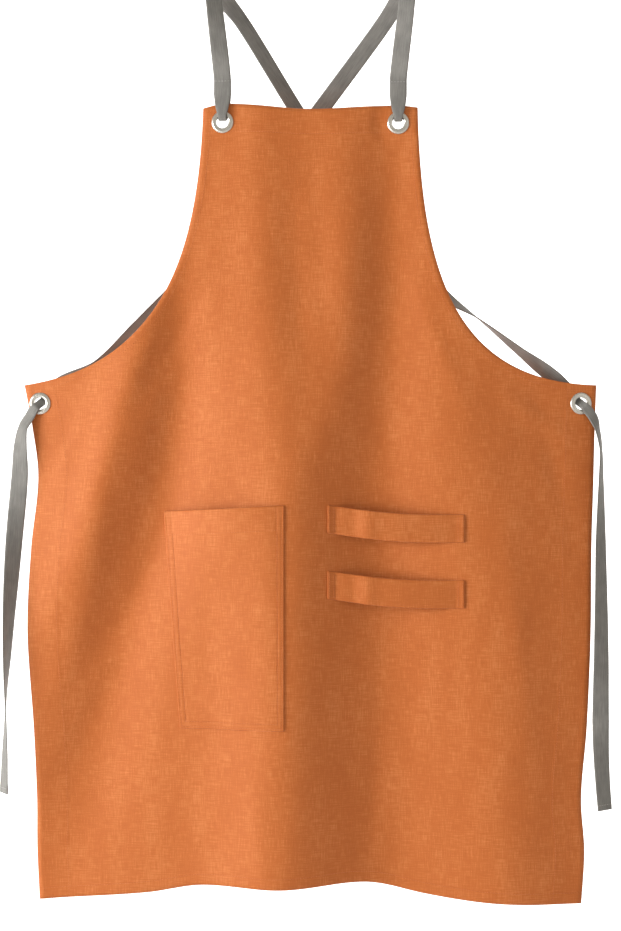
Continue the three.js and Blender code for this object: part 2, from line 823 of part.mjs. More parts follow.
function tieStations(side, mirror, eyelet) {
  return tieRows[side].map((row) => {
    const down = eyelet.down + (tieLength + tieUneven[side]) * row.down;
    const nearest = mirror * Math.min(Math.abs(eyelet.x) + sideEyeletInset * row.outward, bodyHalf);
    const centre = onPanel(eyelet.x, down, lift(nearest, down) + strapWidth * row.forward);
    centre.x += mirror * sideEyeletInset * row.outward;
    return {
      centre,
      width: THREE.MathUtils.lerp(gatheredWidth, strapWidth, row.spread),
      thickness: THREE.MathUtils.lerp(gatheredThickness, strapThickness, row.spread),
      side: sideways(mirror, row.turn, row.roll),
    };
  });
}

// A ribbon through its stations. Its section is a flat hexagon, and the hem at its end is
// thicker by the cloth that is turned back on itself there.
function ribbonSolid(stations) {
  const flips = stations.map(() => 1);
  for (let i = 1; i < stations.length; i += 1) {
    const same = stations[i].side.dot(stations[i - 1].side) * flips[i - 1] >= 0;
    flips[i] = same ? 1 : -1;
  }
  const sides = stations.map((station, i) => station.side.clone().multiplyScalar(flips[i]));
  const curve = new THREE.CatmullRomCurve3(
    stations.map((station) => station.centre),
    false,
    "centripetal",
  );
  const rings = [];
  for (let i = 0; i < stations.length - 1; i += 1) {
    const [from, to] = [stations[i], stations[i + 1]];
    const twist = sides[i].angleTo(sides[i + 1]);
    const steps = Math.max(
      2,
      Math.round(from.centre.distanceTo(to.centre) / strapStep),
      Math.round(THREE.MathUtils.radToDeg(twist) / twistStep),
    );
    const count = i === stations.length - 2 ? steps : steps - 1;
    for (let step = 0; step <= count; step += 1) {
      const s = step / steps;
      const at = (i + s) / (stations.length - 1);
      rings.push({
        centre: curve.getPoint(at),
        tangent: curve.getTangent(at),
        side: sides[i].clone().lerp(sides[i + 1], s),
        width: THREE.MathUtils.lerp(from.width, to.width, s),
        thickness: THREE.MathUtils.lerp(from.thickness, to.thickness, s),
      });
    }
  }
  const end = rings.at(-1);
  const before = rings.at(-2);
  const hemStart = Math.max(0, 1 - tieHem / before.centre.distanceTo(end.centre));
  const folded = { ...end, centre: before.centre.clone().lerp(end.centre, hemStart) };
  rings.splice(-1, 0, folded, { ...folded, thickness: tieHemThickness, nudge: sewnGap });
  end.thickness = tieHemThickness;
  return ringSolid(rings);
}

const sectionCorners = [
  [-1, 0],
  [-0.84, 1],
  [0.84, 1],
  [1, 0],
  [0.84, -1],
  [-0.84, -1],
];

function ringSolid(rings) {
  const size = sectionCorners.length;
  const positions = rings.flatMap((ring) => {
    const across = ring.side.clone().addScaledVector(ring.tangent, -ring.side.dot(ring.tangent));
    across.normalize();
    const normal = new THREE.Vector3().crossVectors(ring.tangent, across).normalize();
    const centre = ring.centre.clone().addScaledVector(ring.tangent, ring.nudge ?? 0);
    return sectionCorners.flatMap(([u, v]) =>
      centre
        .clone()
        .addScaledVector(across, (u * ring.width) / 2)
        .addScaledVector(normal, (v * ring.thickness) / 2)
        .toArray(),
    );
  });
  const faces = [];
  for (let ring = 0; ring < rings.length - 1; ring += 1) {
    for (let k = 0; k < size; k += 1) {
      const [a, b] = [ring * size + k, ring * size + ((k + 1) % size)];
      const [c, d] = [b + size, a + size];
      faces.push(...(k < size / 2 ? [a, b, c, a, c, d] : [a, b, d, b, c, d]));
    }
  }
  const lastRing = (rings.length - 1) * size;
  for (let k = 1; k < size - 1; k += 1) {
    faces.push(0, k + 1, k, lastRing, lastRing + k, lastRing + k + 1);
  }
  const geometry = new THREE.BufferGeometry();
  geometry.setAttribute("position", new THREE.Float32BufferAttribute(positions, 3));
  geometry.setIndex(faces);
  const solid = solidOf(geometry);
  return solid.volume() < 0 ? solidOf(reversed(geometry)) : solid;
}

function reversed(geometry) {
  const turned = geometry.clone();
  const index = Array.from(geometry.index.array);
  for (let i = 0; i < index.length; i += 3) {
    [index[i + 1], index[i + 2]] = [index[i + 2], index[i + 1]];
  }
  turned.setIndex(index);
  return turned;
}

function strapSolid(from) {
  const mirror = from === "left" ? 1 : -1;
  const to = from === "left" ? "right" : "left";
  const top = eyelets.find((eyelet) => eyelet.name === `top_${from}`);
  const low = eyelets.find((eyelet) => eyelet.name === `side_${to}`);
  const depth = crossBehind + (from === "left" ? crossSpacing / 2 : -crossSpacing / 2);
  const stations = [
    ...tabStations(top),
    ...railStations(from, -mirror),
    ...backStations(from, mirror, low, depth),
    ...sidePassStations(low, mirror),
    ...tieStations(to, mirror, low),
  ];
  return ribbonSolid(stations);
}

const linen = new THREE.MeshStandardMaterial({ color: 0xcf7443, roughness: 0.9, metalness: 0 });
const tape = new THREE.MeshStandardMaterial({ color: 0x827f7a, roughness: 0.85, metalness: 0 });
const nickel = new THREE.MeshStandardMaterial({ color: 0xd4cec4, roughness: 0.25, metalness: 1 });

const apron = new THREE.Group();

function addPiece(name, solid, material) {
  const mesh = new THREE.Mesh(geometryOf(solid), material);
  mesh.name = name;
  apron.add(mesh);
}

addPiece("body_panel", withEyeletHoles(panelSolid()), linen);
addPiece("patch_pocket", pocketSolid(), linen);
addPiece("upper_loop", loopSolid(0), linen);
addPiece("lower_loop", loopSolid(1), linen);
for (const eyelet of eyelets) {
  addPiece(`${eyelet.name}_eyelet`, onEyelet(latheSolid(eyeletProfile()), eyelet), nickel);
  addPiece(`${eyelet.name}_washer`, onEyelet(latheSolid(washerProfile()), eyelet), nickel);
}
addPiece("left_shoulder_strap", strapSolid("left"), tape);
addPiece("right_shoulder_strap", strapSolid("right"), tape);

export default apron;
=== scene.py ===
# %% [markdown]
# # A cross back apron
# The apron is one linen panel with turned hems, a patch pocket, two band loops, four metal
# eyelets and two tape straps that cross behind. The CAD model holds its size and drape. Here
# each piece is worked out again from the same formulas on a much finer grid, and then gets its
# weave, stitches and metal. A place on the cloth is (x, down): across from the centre line and
# down from the top of the bib. Lift is how far the cloth stands towards the viewer.

import math

import bmesh
import bpy
import numpy as np
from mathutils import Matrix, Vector


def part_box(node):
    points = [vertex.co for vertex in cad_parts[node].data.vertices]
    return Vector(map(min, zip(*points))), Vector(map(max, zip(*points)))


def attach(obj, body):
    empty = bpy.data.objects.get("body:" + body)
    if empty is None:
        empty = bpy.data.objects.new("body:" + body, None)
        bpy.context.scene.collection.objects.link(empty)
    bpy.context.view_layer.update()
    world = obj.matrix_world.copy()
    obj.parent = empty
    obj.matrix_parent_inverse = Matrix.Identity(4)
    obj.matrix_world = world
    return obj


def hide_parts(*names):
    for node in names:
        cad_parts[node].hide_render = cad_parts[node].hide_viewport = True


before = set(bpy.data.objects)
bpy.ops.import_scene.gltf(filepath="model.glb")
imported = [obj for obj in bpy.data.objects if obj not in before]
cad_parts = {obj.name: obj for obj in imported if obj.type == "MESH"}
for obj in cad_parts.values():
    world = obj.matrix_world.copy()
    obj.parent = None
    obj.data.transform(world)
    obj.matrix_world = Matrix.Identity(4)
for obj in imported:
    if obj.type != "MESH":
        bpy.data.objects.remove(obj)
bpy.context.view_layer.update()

# %% [markdown]
# ## The camera
# The photograph looks straight at the apron from about two metres. A long lens keeps the
# proportions flat. The picture's height covers 1.08 m at the panel, and its centre lies 560 mm
# below the rail that the straps hang on, so the lens follows from the distance.

# %% Place the camera
PANEL_FORWARD = 0.024
HANG_DROP = 0.144
CAMERA_DISTANCE = 2.05
PICTURE_HEIGHT = 1.08
PICTURE_CENTRE = -0.56
SENSOR = 36.0

camera_data = bpy.data.cameras.new("camera")
camera_data.sensor_width = SENSOR
camera_data.lens = SENSOR * CAMERA_DISTANCE / PICTURE_HEIGHT
camera = bpy.data.objects.new("camera", camera_data)
camera.location = (0.0, -PANEL_FORWARD - CAMERA_DISTANCE, PICTURE_CENTRE)
camera.rotation_euler = (math.pi / 2, 0.0, 0.0)
bpy.context.scene.collection.objects.link(camera)
bpy.context.scene.camera = camera
print("lens", round(camera_data.lens, 1), "mm")

# %% [markdown]
# ## Sizes of the pieces
# These are the sizes of the real apron in metres, the same that the CAD model is built from. The
# panel's width is read off the CAD model, so that a wrong number shows at once.

# %% Sizes
BIB_WIDTH = 0.248
BODY_WIDTH = 0.668
PANEL_LENGTH = 0.908
ARMHOLE_DROP = 0.322
CLOTH = 0.0012
GAP = 0.0003
FOLD_DEPTH = 0.028
SIDE_SETBACK = 0.019
TOP_HEM, ARMHOLE_HEM, SIDE_HEM, BOTTOM_HEM = 0.032, 0.010, 0.036, 0.014
HEM_CLOTH = 0.001
BIB_HALF, BODY_HALF = BIB_WIDTH / 2, BODY_WIDTH / 2
SIDE_LENGTH = PANEL_LENGTH - ARMHOLE_DROP

panel_low, panel_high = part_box("body_panel")
print("panel width in the CAD model", round(panel_high.x - panel_low.x, 3), "and here", BODY_WIDTH)

# %% [markdown]
# ## The drape
# Cloth that hangs from two points falls in soft ridges and furrows that run down it. Each one is
# a bell curve across the panel whose centre, spread and height change with the level. A cloth
# simulation would give folds too, but not the ones in the photograph, so the folds are a table.

# %% Smooth lines through table rows
def smooth_line(at, values):
    """A Hermite piece between each pair of rows, with the slope of the line between neighbours."""
    at, values = np.asarray(at, float), np.asarray(values, float)
    before = np.maximum(np.arange(len(at)) - 1, 0)
    after = np.minimum(np.arange(len(at)) + 1, len(at) - 1)
    slopes = (values[after] - values[before]) / (at[after] - at[before])

    def line(place):
        place = np.clip(place, at[0], at[-1])
        i = np.minimum(np.searchsorted(at, place, side="right") - 1, len(at) - 2)
        step = at[i + 1] - at[i]
        s = (place - at[i]) / step
        from_start = values[i] * (1 + 2 * s) + slopes[i] * step * s
        from_end = values[i + 1] * (3 - 2 * s) + slopes[i + 1] * step * (s - 1)
        return from_start * (1 - s) ** 2 + from_end * s**2

    return line


def smooth_step(value):
    """Rises from 0 to 1 as the value does, and starts and ends level."""
    s = np.clip(value, 0, 1)
    return s * s * (3 - 2 * s)


def bell(distance, spread):
    """A bell curve of height 1 that falls to about a third at its spread."""
    return np.exp(-((distance / spread) ** 2))


# %% The folds
FOLD_LEVELS = [0, 0.22, 0.38, 0.53, 0.7, 1]
FOLDS = {
    "left crest": {
        "centre": [-0.45, -0.52, -0.63, -0.75, -0.87, -1],
        "spread": [0.09, 0.1, 0.12, 0.135, 0.135, 0.135],
        "rise": [0, 0.14, 0.5, 0.54, 0.2, 0],
    },
    "left furrow": {
        "centre": [-0.39, -0.45, -0.47, -0.545, -0.68, -0.85],
        "spread": [0.09, 0.08, 0.12, 0.135, 0.155, 0.18],
        "rise": [0, -0.18, -0.42, -0.56, -0.6, -0.22],
    },
    "main crest": {
        "centre": [-0.175, -0.165, -0.12, -0.09, -0.1, -0.11],
        "spread": [0.115, 0.12, 0.175, 0.185, 0.2, 0.21],
        "rise": [0.14, 0.28, 0.5, 0.75, 0.93, 1],
    },
    "bib crest": {
        "centre": [0.1, 0.12, 0.085, 0, 0, 0],
        "spread": [0.105, 0.105, 0.12, 0.12, 0.12, 0.12],
        "rise": [0.04, 0.21, 0.21, 0, 0, 0],
    },
    "right furrow": {
        "centre": [0.285, 0.285, 0.255, 0.235, 0.25, 0.265],
        "spread": [0.095, 0.105, 0.135, 0.15, 0.15, 0.15],
        "rise": [-0.14, -0.32, -0.36, -0.4, -0.32, -0.28],
    },
    "right crest": {
        "centre": [0.45, 0.48, 0.54, 0.615, 0.665, 0.69],
        "spread": [0.12, 0.135, 0.15, 0.165, 0.18, 0.195],
        "rise": [0, 0, 0.14, 0.21, 0.36, 0.5],
    },
}
fold_lines = [
    {column: smooth_line(FOLD_LEVELS, values) for column, values in fold.items()}
    for fold in FOLDS.values()
]
setback = smooth_line(FOLD_LEVELS, [0.1, 0.45, 1, 0.9, 0.5, 0.3])


def drape_lift(x, down):
    """The folds' bells, less the sides' setback, which grows with the cube of the distance."""
    level, across = down / PANEL_LENGTH, x / BODY_HALF
    ridges = sum(
        fold["rise"](level) * bell(across - fold["centre"](level), fold["spread"](level))
        for fold in fold_lines
    )
    return FOLD_DEPTH * ridges - SIDE_SETBACK * setback(level) * np.abs(across) ** 3


# %% [markdown]
# ## Eyelets clamp the cloth
# A metal eyelet is stiff, so round it the cloth lies in one plane, the one that touches the drape
# at the eyelet's centre, and blends back into the folds over the next two centimetres.

# %% Eyelet places and the cloth's lift
EYELET_BORE, EYELET_RADIUS, EYELET_WALL = 0.007, 0.013, 0.0006
EYELET_CROWN, EYELET_LIP, WASHER = 0.0021, 0.0022, 0.0009
TOP_EYELET_INSET, TOP_EYELET_DOWN = 0.022, 0.018
SIDE_EYELET_INSET, SIDE_EYELET_DOWN = 0.018, 0.0215
EYELET_FLAT, EYELET_BLEND, CREASE_BLEND = 0.003, 0.02, 0.025

EYELETS = {
    "top_left": (TOP_EYELET_INSET - BIB_HALF, TOP_EYELET_DOWN),
    "top_right": (BIB_HALF - TOP_EYELET_INSET, TOP_EYELET_DOWN),
    "side_left": (SIDE_EYELET_INSET - BODY_HALF, ARMHOLE_DROP + SIDE_EYELET_DOWN),
    "side_right": (BODY_HALF - SIDE_EYELET_INSET, ARMHOLE_DROP + SIDE_EYELET_DOWN),
}


def slopes_at(x, down, step=0.001):
    """The drape's slope across and down at a place, from its lift a step to each side."""
    across = (drape_lift(x + step, down) - drape_lift(x - step, down)) / (2 * step)
    below = (drape_lift(x, down + step) - drape_lift(x, down - step)) / (2 * step)
    return float(across), float(below)


eyelet_planes = {
    name: (x, down, float(drape_lift(x, down)), *slopes_at(x, down))
    for name, (x, down) in EYELETS.items()
}


def lift(x, down):
    """The drape, blended into each eyelet's plane inside a ring round it."""
    height = drape_lift(x, down)
    for ex, ed, level, slope_across, slope_down in eyelet_planes.values():
        fade = (np.hypot(x - ex, down - ed) - EYELET_RADIUS - EYELET_FLAT) / EYELET_BLEND
        hold = 1 - smooth_step(fade)
        plane = level + slope_across * (x - ex) + slope_down * (down - ed)
        height = height + (plane - height) * hold
    return height


def on_panel(x, down, height):
    """A place on the panel as a point of the frame, at some height above its hanging plane."""
    x, down, height = np.broadcast_arrays(x, down, height)
    return np.stack([x, -PANEL_FORWARD - height, -HANG_DROP - down], axis=-1)


for name, plane in eyelet_planes.items():
    print(name, "eyelet stands", round(1000 * plane[2], 1), "mm out")

# %% [markdown]
# ## Small creases
# The linen has been folded and handled, so short soft creases lie across the large folds. They
# are too fine for the CAD model. Each is a long narrow bell at an angle, and a slow ripple of a
# few tenths of a millimetre keeps the cloth between them from looking pressed.

# %% Creases
# The columns are x, down, angle from upright in degrees, length, width and rise.
CREASES = [
    (-0.178, 0.29, 24, 0.06, 0.016, -0.0026),
    (-0.212, 0.385, 18, 0.07, 0.017, -0.0026),
    (-0.225, 0.47, 10, 0.07, 0.019, -0.0022),
    (-0.29, 0.6, 22, 0.07, 0.018, -0.0022),
    (-0.262, 0.335, 62, 0.05, 0.011, 0.0014),
    (-0.235, 0.372, 50, 0.06, 0.012, -0.0012),
    (-0.285, 0.415, 20, 0.07, 0.01, 0.001),
    (-0.2, 0.52, 24, 0.09, 0.012, 0.0011),
    (-0.245, 0.66, 30, 0.08, 0.014, 0.0014),
    (-0.15, 0.26, 28, 0.07, 0.01, -0.001),
    (0.15, 0.28, -22, 0.08, 0.011, 0.001),
    (0.262, 0.36, -58, 0.05, 0.011, 0.0012),
    (0.285, 0.42, -15, 0.09, 0.012, -0.001),
    (0.24, 0.62, -6, 0.12, 0.013, 0.001),
    (0.075, 0.78, 4, 0.1, 0.012, -0.0009),
    (0.0, 0.2, -4, 0.1, 0.012, 0.0008),
    (-0.06, 0.84, -5, 0.07, 0.012, 0.0009),
]
# A ripple's height, then the x, down and start of each of the two sines that make it.
RIPPLES = [
    (0.00022, (47, 31, 0), (-22, 38, 1.3)),
    (0.00015, (118, -25, 0.6), (0, 73, 2.1)),
]


def crease_lift(x, down):
    """The crossing ripples, and each crease's bell along its own two axes."""
    total = 0.0
    for height, first, second in RIPPLES:
        waves = [np.sin(p * x + q * down + start) for p, q, start in (first, second)]
        total = total + height * waves[0] * waves[1]
    for centre, level, turn, length, width, rise in CREASES:
        angle = math.radians(turn)
        dx, dd = x - centre, down - level
        along = dd * math.cos(angle) - dx * math.sin(angle)
        across = dx * math.cos(angle) + dd * math.sin(angle)
        total = total + rise * bell(along, length) * bell(across, width)
    return total


def flat_by_eyelets(x, down):
    """0 at an eyelet and 1 well away from all of them."""
    keep = 1.0
    for ex, ed in EYELETS.values():
        keep = keep * smooth_step((np.hypot(x - ex, down - ed) - EYELET_RADIUS) / CREASE_BLEND)
    return keep


def cloth_lift(x, down):
    """The cloth's middle surface with its creases."""
    return lift(x, down) + crease_lift(x, down) * flat_by_eyelets(x, down)


# %% [markdown]
# ## Meshes from grids
# Every piece of cloth is a grid of points for its front, another for its back, and a rim between
# them that bulges a little, as a folded edge does. One function turns two such grids into a
# closed mesh, and another writes any points, faces and UV values into Blender.

# %% Grid helpers
RIM_BULGE = 0.3


def quads_of(rows, columns, offset=0, wrap=False):
    """Faces of a grid, with its first row above its second as seen from the front."""
    last = columns if wrap else columns - 1
    r, c = np.meshgrid(np.arange(rows - 1), np.arange(last), indexing="ij")
    right = (c + 1) % columns
    left = [r * columns + c, (r + 1) * columns + c]
    corners = [*left, (r + 1) * columns + right, r * columns + right]
    return np.stack(corners, axis=-1).reshape(-1, 4) + offset


def rim_of(rows, columns):
    """Indices round a grid, down its left side first."""
    index = np.arange(rows * columns).reshape(rows, columns)
    return np.concatenate([index[:-1, 0], index[-1, :-1], index[:0:-1, -1], index[0, :0:-1]])


def write_mesh(name, points, faces, uv=None):
    """Writes points and four-sided faces into a new smooth object, with a UV for each point."""
    mesh = bpy.data.meshes.new(name)
    points, faces = np.asarray(points, float).reshape(-1, 3), np.asarray(faces, int)
    mesh.vertices.add(len(points))
    mesh.vertices.foreach_set("co", points.ravel())
    mesh.loops.add(faces.size)
    mesh.loops.foreach_set("vertex_index", faces.ravel())
    mesh.polygons.add(len(faces))
    mesh.polygons.foreach_set("loop_start", np.arange(len(faces)) * 4)
    mesh.polygons.foreach_set("use_smooth", np.ones(len(faces), bool))
    if uv is not None:
        layer = mesh.uv_layers.new(name="cloth")
        layer.data.foreach_set("uv", np.asarray(uv, float)[faces.ravel()].ravel())
    mesh.update(calc_edges=True)
    mesh.validate()
    piece = bpy.data.objects.new(name, mesh)
    bpy.context.scene.collection.objects.link(piece)
    return piece


def closed_sheet(name, front, back, uv):
    """A closed mesh from a front and a back grid. The rim's middle loop stands out by a share
    of the thickness, away from the grid's inside."""
    rows, columns = front.shape[:2]
    rim = rim_of(rows, columns)
    flat_front, flat_back = front.reshape(-1, 3), back.reshape(-1, 3)
    index = np.arange(rows * columns).reshape(rows, columns)
    inside = np.pad(index[1:-1, 1:-1], 1, mode="edge").ravel()
    outward = flat_front[rim] - flat_front[inside[rim]]
    outward /= np.linalg.norm(outward, axis=1, keepdims=True) + 1e-9
    thickness = np.linalg.norm(flat_front[rim] - flat_back[rim], axis=1, keepdims=True)
    middle = (flat_front[rim] + flat_back[rim]) / 2 + RIM_BULGE * thickness * outward
    count = rows * columns
    points = np.concatenate([flat_front, flat_back, middle])
    after = np.roll(np.arange(len(rim)), -1)
    mid = 2 * count + np.arange(len(rim))
    faces = [
        quads_of(rows, columns),
        quads_of(rows, columns, offset=count)[:, ::-1],
        np.stack([rim, mid, mid[after], rim[after]], axis=-1),
        np.stack([mid, rim + count, rim[after] + count, mid[after]], axis=-1),
    ]
    uv = np.asarray(uv, float).reshape(-1, 2)
    return write_mesh(name, points, np.concatenate(faces), np.concatenate([uv, uv, uv[rim]]))


def finish_piece(piece, material, slot_name, *nodes):
    """Gives a piece its material and its place on the body. Its slot name is not used."""
    piece.data.materials.append(material)
    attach(piece, "root")
    if nodes:
        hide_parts(*nodes)
    return piece


# %% [markdown]
# ## Shader expressions
# Shader maths reads best as plain expressions. A small class wraps a socket, so that adding or
# multiplying two of them adds the Math node. Other nodes come from one method that takes the
# node's type, its settings and the values or links of its sockets.

# %% A socket that does maths
class Socket:
    """A node's output in one material's tree. Operators on it add Math nodes."""

    def __init__(self, tree, output):
        self.tree = tree
        self.output = output

    def _math(self, operation, *values):
        settings = {"operation": operation}
        return add_node(self.tree, "ShaderNodeMath", settings, dict(enumerate(values)))

    def __add__(self, other):
        return self._math("ADD", self, other)

    def __radd__(self, other):
        return self._math("ADD", other, self)

    def __sub__(self, other):
        return self._math("SUBTRACT", self, other)

    def __mul__(self, other):
        return self._math("MULTIPLY", self, other)

    def __truediv__(self, other):
        return self._math("DIVIDE", self, other)

    def sin(self):
        return self._math("SINE", self)

    def abs(self):
        return self._math("ABSOLUTE", self)

    def clamp(self):
        return self._math("MINIMUM", self._math("MAXIMUM", self, 0.0), 1.0)


def add_node(tree, kind, settings=None, inputs=None, output=0):
    """Adds a node, makes its settings, then fills its sockets with values or links."""
    node = tree.nodes.new(kind)
    for setting, value in (settings or {}).items():
        setattr(node, setting, value)
    for socket, value in (inputs or {}).items():
        if isinstance(value, Socket):
            tree.links.new(value.output, node.inputs[socket])
        else:
            node.inputs[socket].default_value = value
    return Socket(tree, node.outputs[output])


def new_material(name):
    """An empty material and its node tree."""
    material = bpy.data.materials.new(name)
    material.use_nodes = True
    material.node_tree.nodes.clear()
    return material, material.node_tree


def mix_colour(tree, factor, first, second):
    """Blends two colours by a factor."""
    inputs = {0: factor, 6: first, 7: second}
    return add_node(tree, "ShaderNodeMix", {"data_type": "RGBA"}, inputs, output=2)


def noise(tree, vector, stretch, scale, detail, seed):
    """A noise between 0 and 1 over a vector that is stretched along its axes first."""
    moved = {"Vector": vector, "Location": (seed, seed * 0.7, 0.0), "Scale": (*stretch, 1.0)}
    inputs = {
        "Vector": add_node(tree, "ShaderNodeMapping", None, moved),
        "Scale": scale,
        "Detail": detail,
        "Roughness": 0.55,
    }
    return add_node(tree, "ShaderNodeTexNoise", {"noise_dimensions": "2D"}, inputs)


def first_two(tree, vector):
    """The first two parts of a vector."""
    split = add_node(tree, "ShaderNodeSeparateXYZ", None, {0: vector})
    return split, Socket(tree, split.output.node.outputs[1])


def cloth_place(tree):
    """The UV map, which is the place on the cloth in metres."""
    return add_node(tree, "ShaderNodeUVMap", {"uv_map": "cloth"})


def object_place(tree):
    """The place in the object's own space."""
    return add_node(tree, "ShaderNodeTexCoord", output=3)


def bumped(tree, strength, distance, height):
    """A normal that leans as a height changes."""
    inputs = {"Strength": strength, "Distance": distance, "Height": height}
    return add_node(tree, "ShaderNodeBump", None, inputs)


def surface(material, tree, inputs):
    """Ends a material's tree in a Principled shader with these sockets."""
    shader = add_node(tree, "ShaderNodeBsdfPrincipled", None, inputs)
    output = tree.nodes.new("ShaderNodeOutputMaterial")
    tree.links.new(shader.output, output.inputs["Surface"])
    return material


# %% [markdown]
# ## Linen
# Linen yarn is uneven: every few threads one is thicker, and takes the dye a little darker or
# catches more light. So the cloth shows fine broken streaks both ways. The UV map is the place on
# the cloth in metres, and two stretched noises give the slubs, a pair of sines the weave.

# %% Linen material
THREAD_PITCH = 0.0009
LINEN = (0.535, 0.145, 0.024, 1.0)
LINEN_LIGHT = (0.63, 0.208, 0.064, 1.0)
LINEN_DARK = (0.45, 0.104, 0.012, 1.0)


def linen_material():
    """Dyed linen: slub streaks along warp and weft in its colour, and both in its bump."""
    material, tree = new_material("orange linen")
    place = cloth_place(tree)
    across, down = first_two(tree, place)
    warp = noise(tree, place, (1.0, 0.07), 900.0, 2.0, 1.7)
    weft = noise(tree, place, (0.07, 1.0), 820.0, 2.0, 4.1)
    broad = noise(tree, place, (1.0, 0.3), 30.0, 3.0, 8.3)
    slub = (warp * 0.5 + weft * 0.5 - 0.5) * 1.6
    tone = (slub + (broad - 0.5) * 0.5 + 0.5).clamp()
    darker = mix_colour(tree, tone, LINEN_DARK, LINEN)
    turns = 2 * math.pi / THREAD_PITCH
    threads = (across * turns).sin() * (down * turns).sin()
    inputs = {
        "Base Color": mix_colour(tree, (tone * 1.6 - 0.75).clamp(), darker, LINEN_LIGHT),
        "Roughness": 0.56 + tone * 0.12,
        "Specular IOR Level": 0.38,
        "Sheen Weight": 0.08,
        "Sheen Roughness": 0.5,
        "Normal": bumped(tree, 0.55, 0.00035, threads * 0.25 + warp * 0.9 + weft * 0.9),
    }
    return surface(material, tree, inputs)


linen = linen_material()
print("linen nodes", len(linen.node_tree.nodes))

# %% [markdown]
# ## Tape, thread and metal
# The straps are woven cotton tape, flatter and denser than the linen, with a fine diagonal. The
# thread matches the cloth. The eyelets are nickel plated, so nearly all of their look is what
# they reflect, with faint marks from the press that set them.

# %% Tape material
TAPE = (0.285, 0.277, 0.263, 1.0)
TAPE_DARK = (0.115, 0.11, 0.106, 1.0)
TWILL_PITCH = 0.0016
NICKEL = (0.64, 0.62, 0.58, 1.0)
THREADS = {
    "orange thread": ((0.46, 0.115, 0.02, 1.0), (0.68, 0.22, 0.07, 1.0)),
    "grey thread": ((0.3, 0.29, 0.28, 1.0), (0.5, 0.49, 0.47, 1.0)),
}


def tape_material():
    """Grey tape: a fine twill from the sum of along and across, and uneven dye along it."""
    material, tree = new_material("grey tape")
    place = cloth_place(tree)
    across, along = first_two(tree, place)
    twill = ((across.abs() + along) * (2 * math.pi / TWILL_PITCH)).sin() * 0.5 + 0.5
    yarn = noise(tree, place, (1.0, 0.06), 900.0, 2.0, 2.2)
    broad = noise(tree, place, (1.0, 1.0), 45.0, 2.0, 5.5)
    tone = (twill * 0.3 + yarn * 0.7 + broad * 0.6 - 0.3).clamp()
    inputs = {
        "Base Color": mix_colour(tree, tone, TAPE_DARK, TAPE),
        "Roughness": 0.8,
        "Specular IOR Level": 0.3,
        "Sheen Weight": 0.2,
        "Normal": bumped(tree, 0.5, 0.0003, twill * 0.6 + yarn * 0.6),
    }
    return surface(material, tree, inputs)


def thread_material(name):
    """Sewing thread whose colour changes a little along it."""
    material, tree = new_material(name)
    tint = noise(tree, object_place(tree), (1.0, 1.0), 700.0, 1.0, 0.4)
    colour = mix_colour(tree, tint, *THREADS[name])
    return surface(material, tree, {"Base Color": colour, "Roughness": 0.6})


def nickel_material():
    """Nickel plate with fine press marks and slightly uneven gloss."""
    material, tree = new_material("nickel plate")
    marks = noise(tree, object_place(tree), (1.0, 1.0), 380.0, 4.0, 3.3)
    inputs = {
        "Base Color": NICKEL,
        "Metallic": 1.0,
        "Roughness": marks * 0.16 + 0.2,
        "Normal": bumped(tree, 0.12, 0.0002, marks),
    }
    return surface(material, tree, inputs)


tape = tape_material()
thread, grey_thread = [thread_material(name) for name in THREADS]
nickel = nickel_material()
print("materials", [m.name for m in (linen, tape, thread, grey_thread, nickel)])

# %% [markdown]
# ## The panel's outline
# The bib's sides run straight down and then sweep out to the side corners, which a Bezier curve
# with two handles gives. The skirt's sides draw in a little as they hang, and the bottom edge
# rides up where the cloth goes into a fold.

# %% Edges of the panel
bib_edge = smooth_line([-1, -0.8, 0, 0.8, 1], [0.008, -0.012, 0.012, -0.008, 0.002])
bottom_edge = smooth_line(
    [-1, -0.6, -0.4, -0.1, 0.2, 0.42, 0.6, 0.8, 1],
    [0.014, 0.003, -0.008, -0.0065, -0.01, 0.0045, 0.0125, 0.0165, 0.0175],
)
SIDE_LEVELS = [0, 0.08, 0.18, 0.32, 0.48, 0.66, 0.8, 0.9, 1]
side_edge = {
    -1: smooth_line(SIDE_LEVELS, [0, 0.027, 0.049, 0.025, 0.015, 0.037, 0.048, 0.049, 0.057]),
    1: smooth_line(SIDE_LEVELS, [0, 0.005, 0.01, 0.019, 0.024, 0.039, 0.06, 0.049, 0.06]),
}
ARMHOLE_HANDLES = {-1: ((0.03, 0.66), (0.35, 0.94)), 1: ((0.02, 0.68), (0.27, 0.99))}
CORNER_FADE = 0.1


def armhole_curve(side, count=400):
    """(x, down) along an armhole from the bib's corner to the side corner."""
    t = np.linspace(0, 1, count)[:, None]
    reach = BODY_HALF - BIB_HALF
    handles = [
        (side * (BIB_HALF + out * reach), down * ARMHOLE_DROP) for out, down in ARMHOLE_HANDLES[side]
    ]
    corner = (side * BIB_HALF, float(bib_edge(side)) * BIB_WIDTH)
    a, b, c, d = (np.array(p) for p in (corner, *handles, (side * BODY_HALF, ARMHOLE_DROP)))
    return a * (1 - t) ** 3 + 3 * b * t * (1 - t) ** 2 + 3 * c * t**2 * (1 - t) + d * t**3


armholes = {side: armhole_curve(side) for side in (-1, 1)}


def skirt_share(base):
    """0 down to the side corners, and 1 at the bottom edge."""
    return np.clip((base - ARMHOLE_DROP) / SIDE_LENGTH, 0, 1)


def down_at(base, across):
    """How far down a row of this base level lies at a share across, from -1 to 1."""
    top_fade = np.clip(1 - base / CORNER_FADE, 0, 1) ** 2
    down = base + bib_edge(across) * BIB_WIDTH * top_fade
    return down + skirt_share(base) * bottom_edge(across) * PANEL_LENGTH


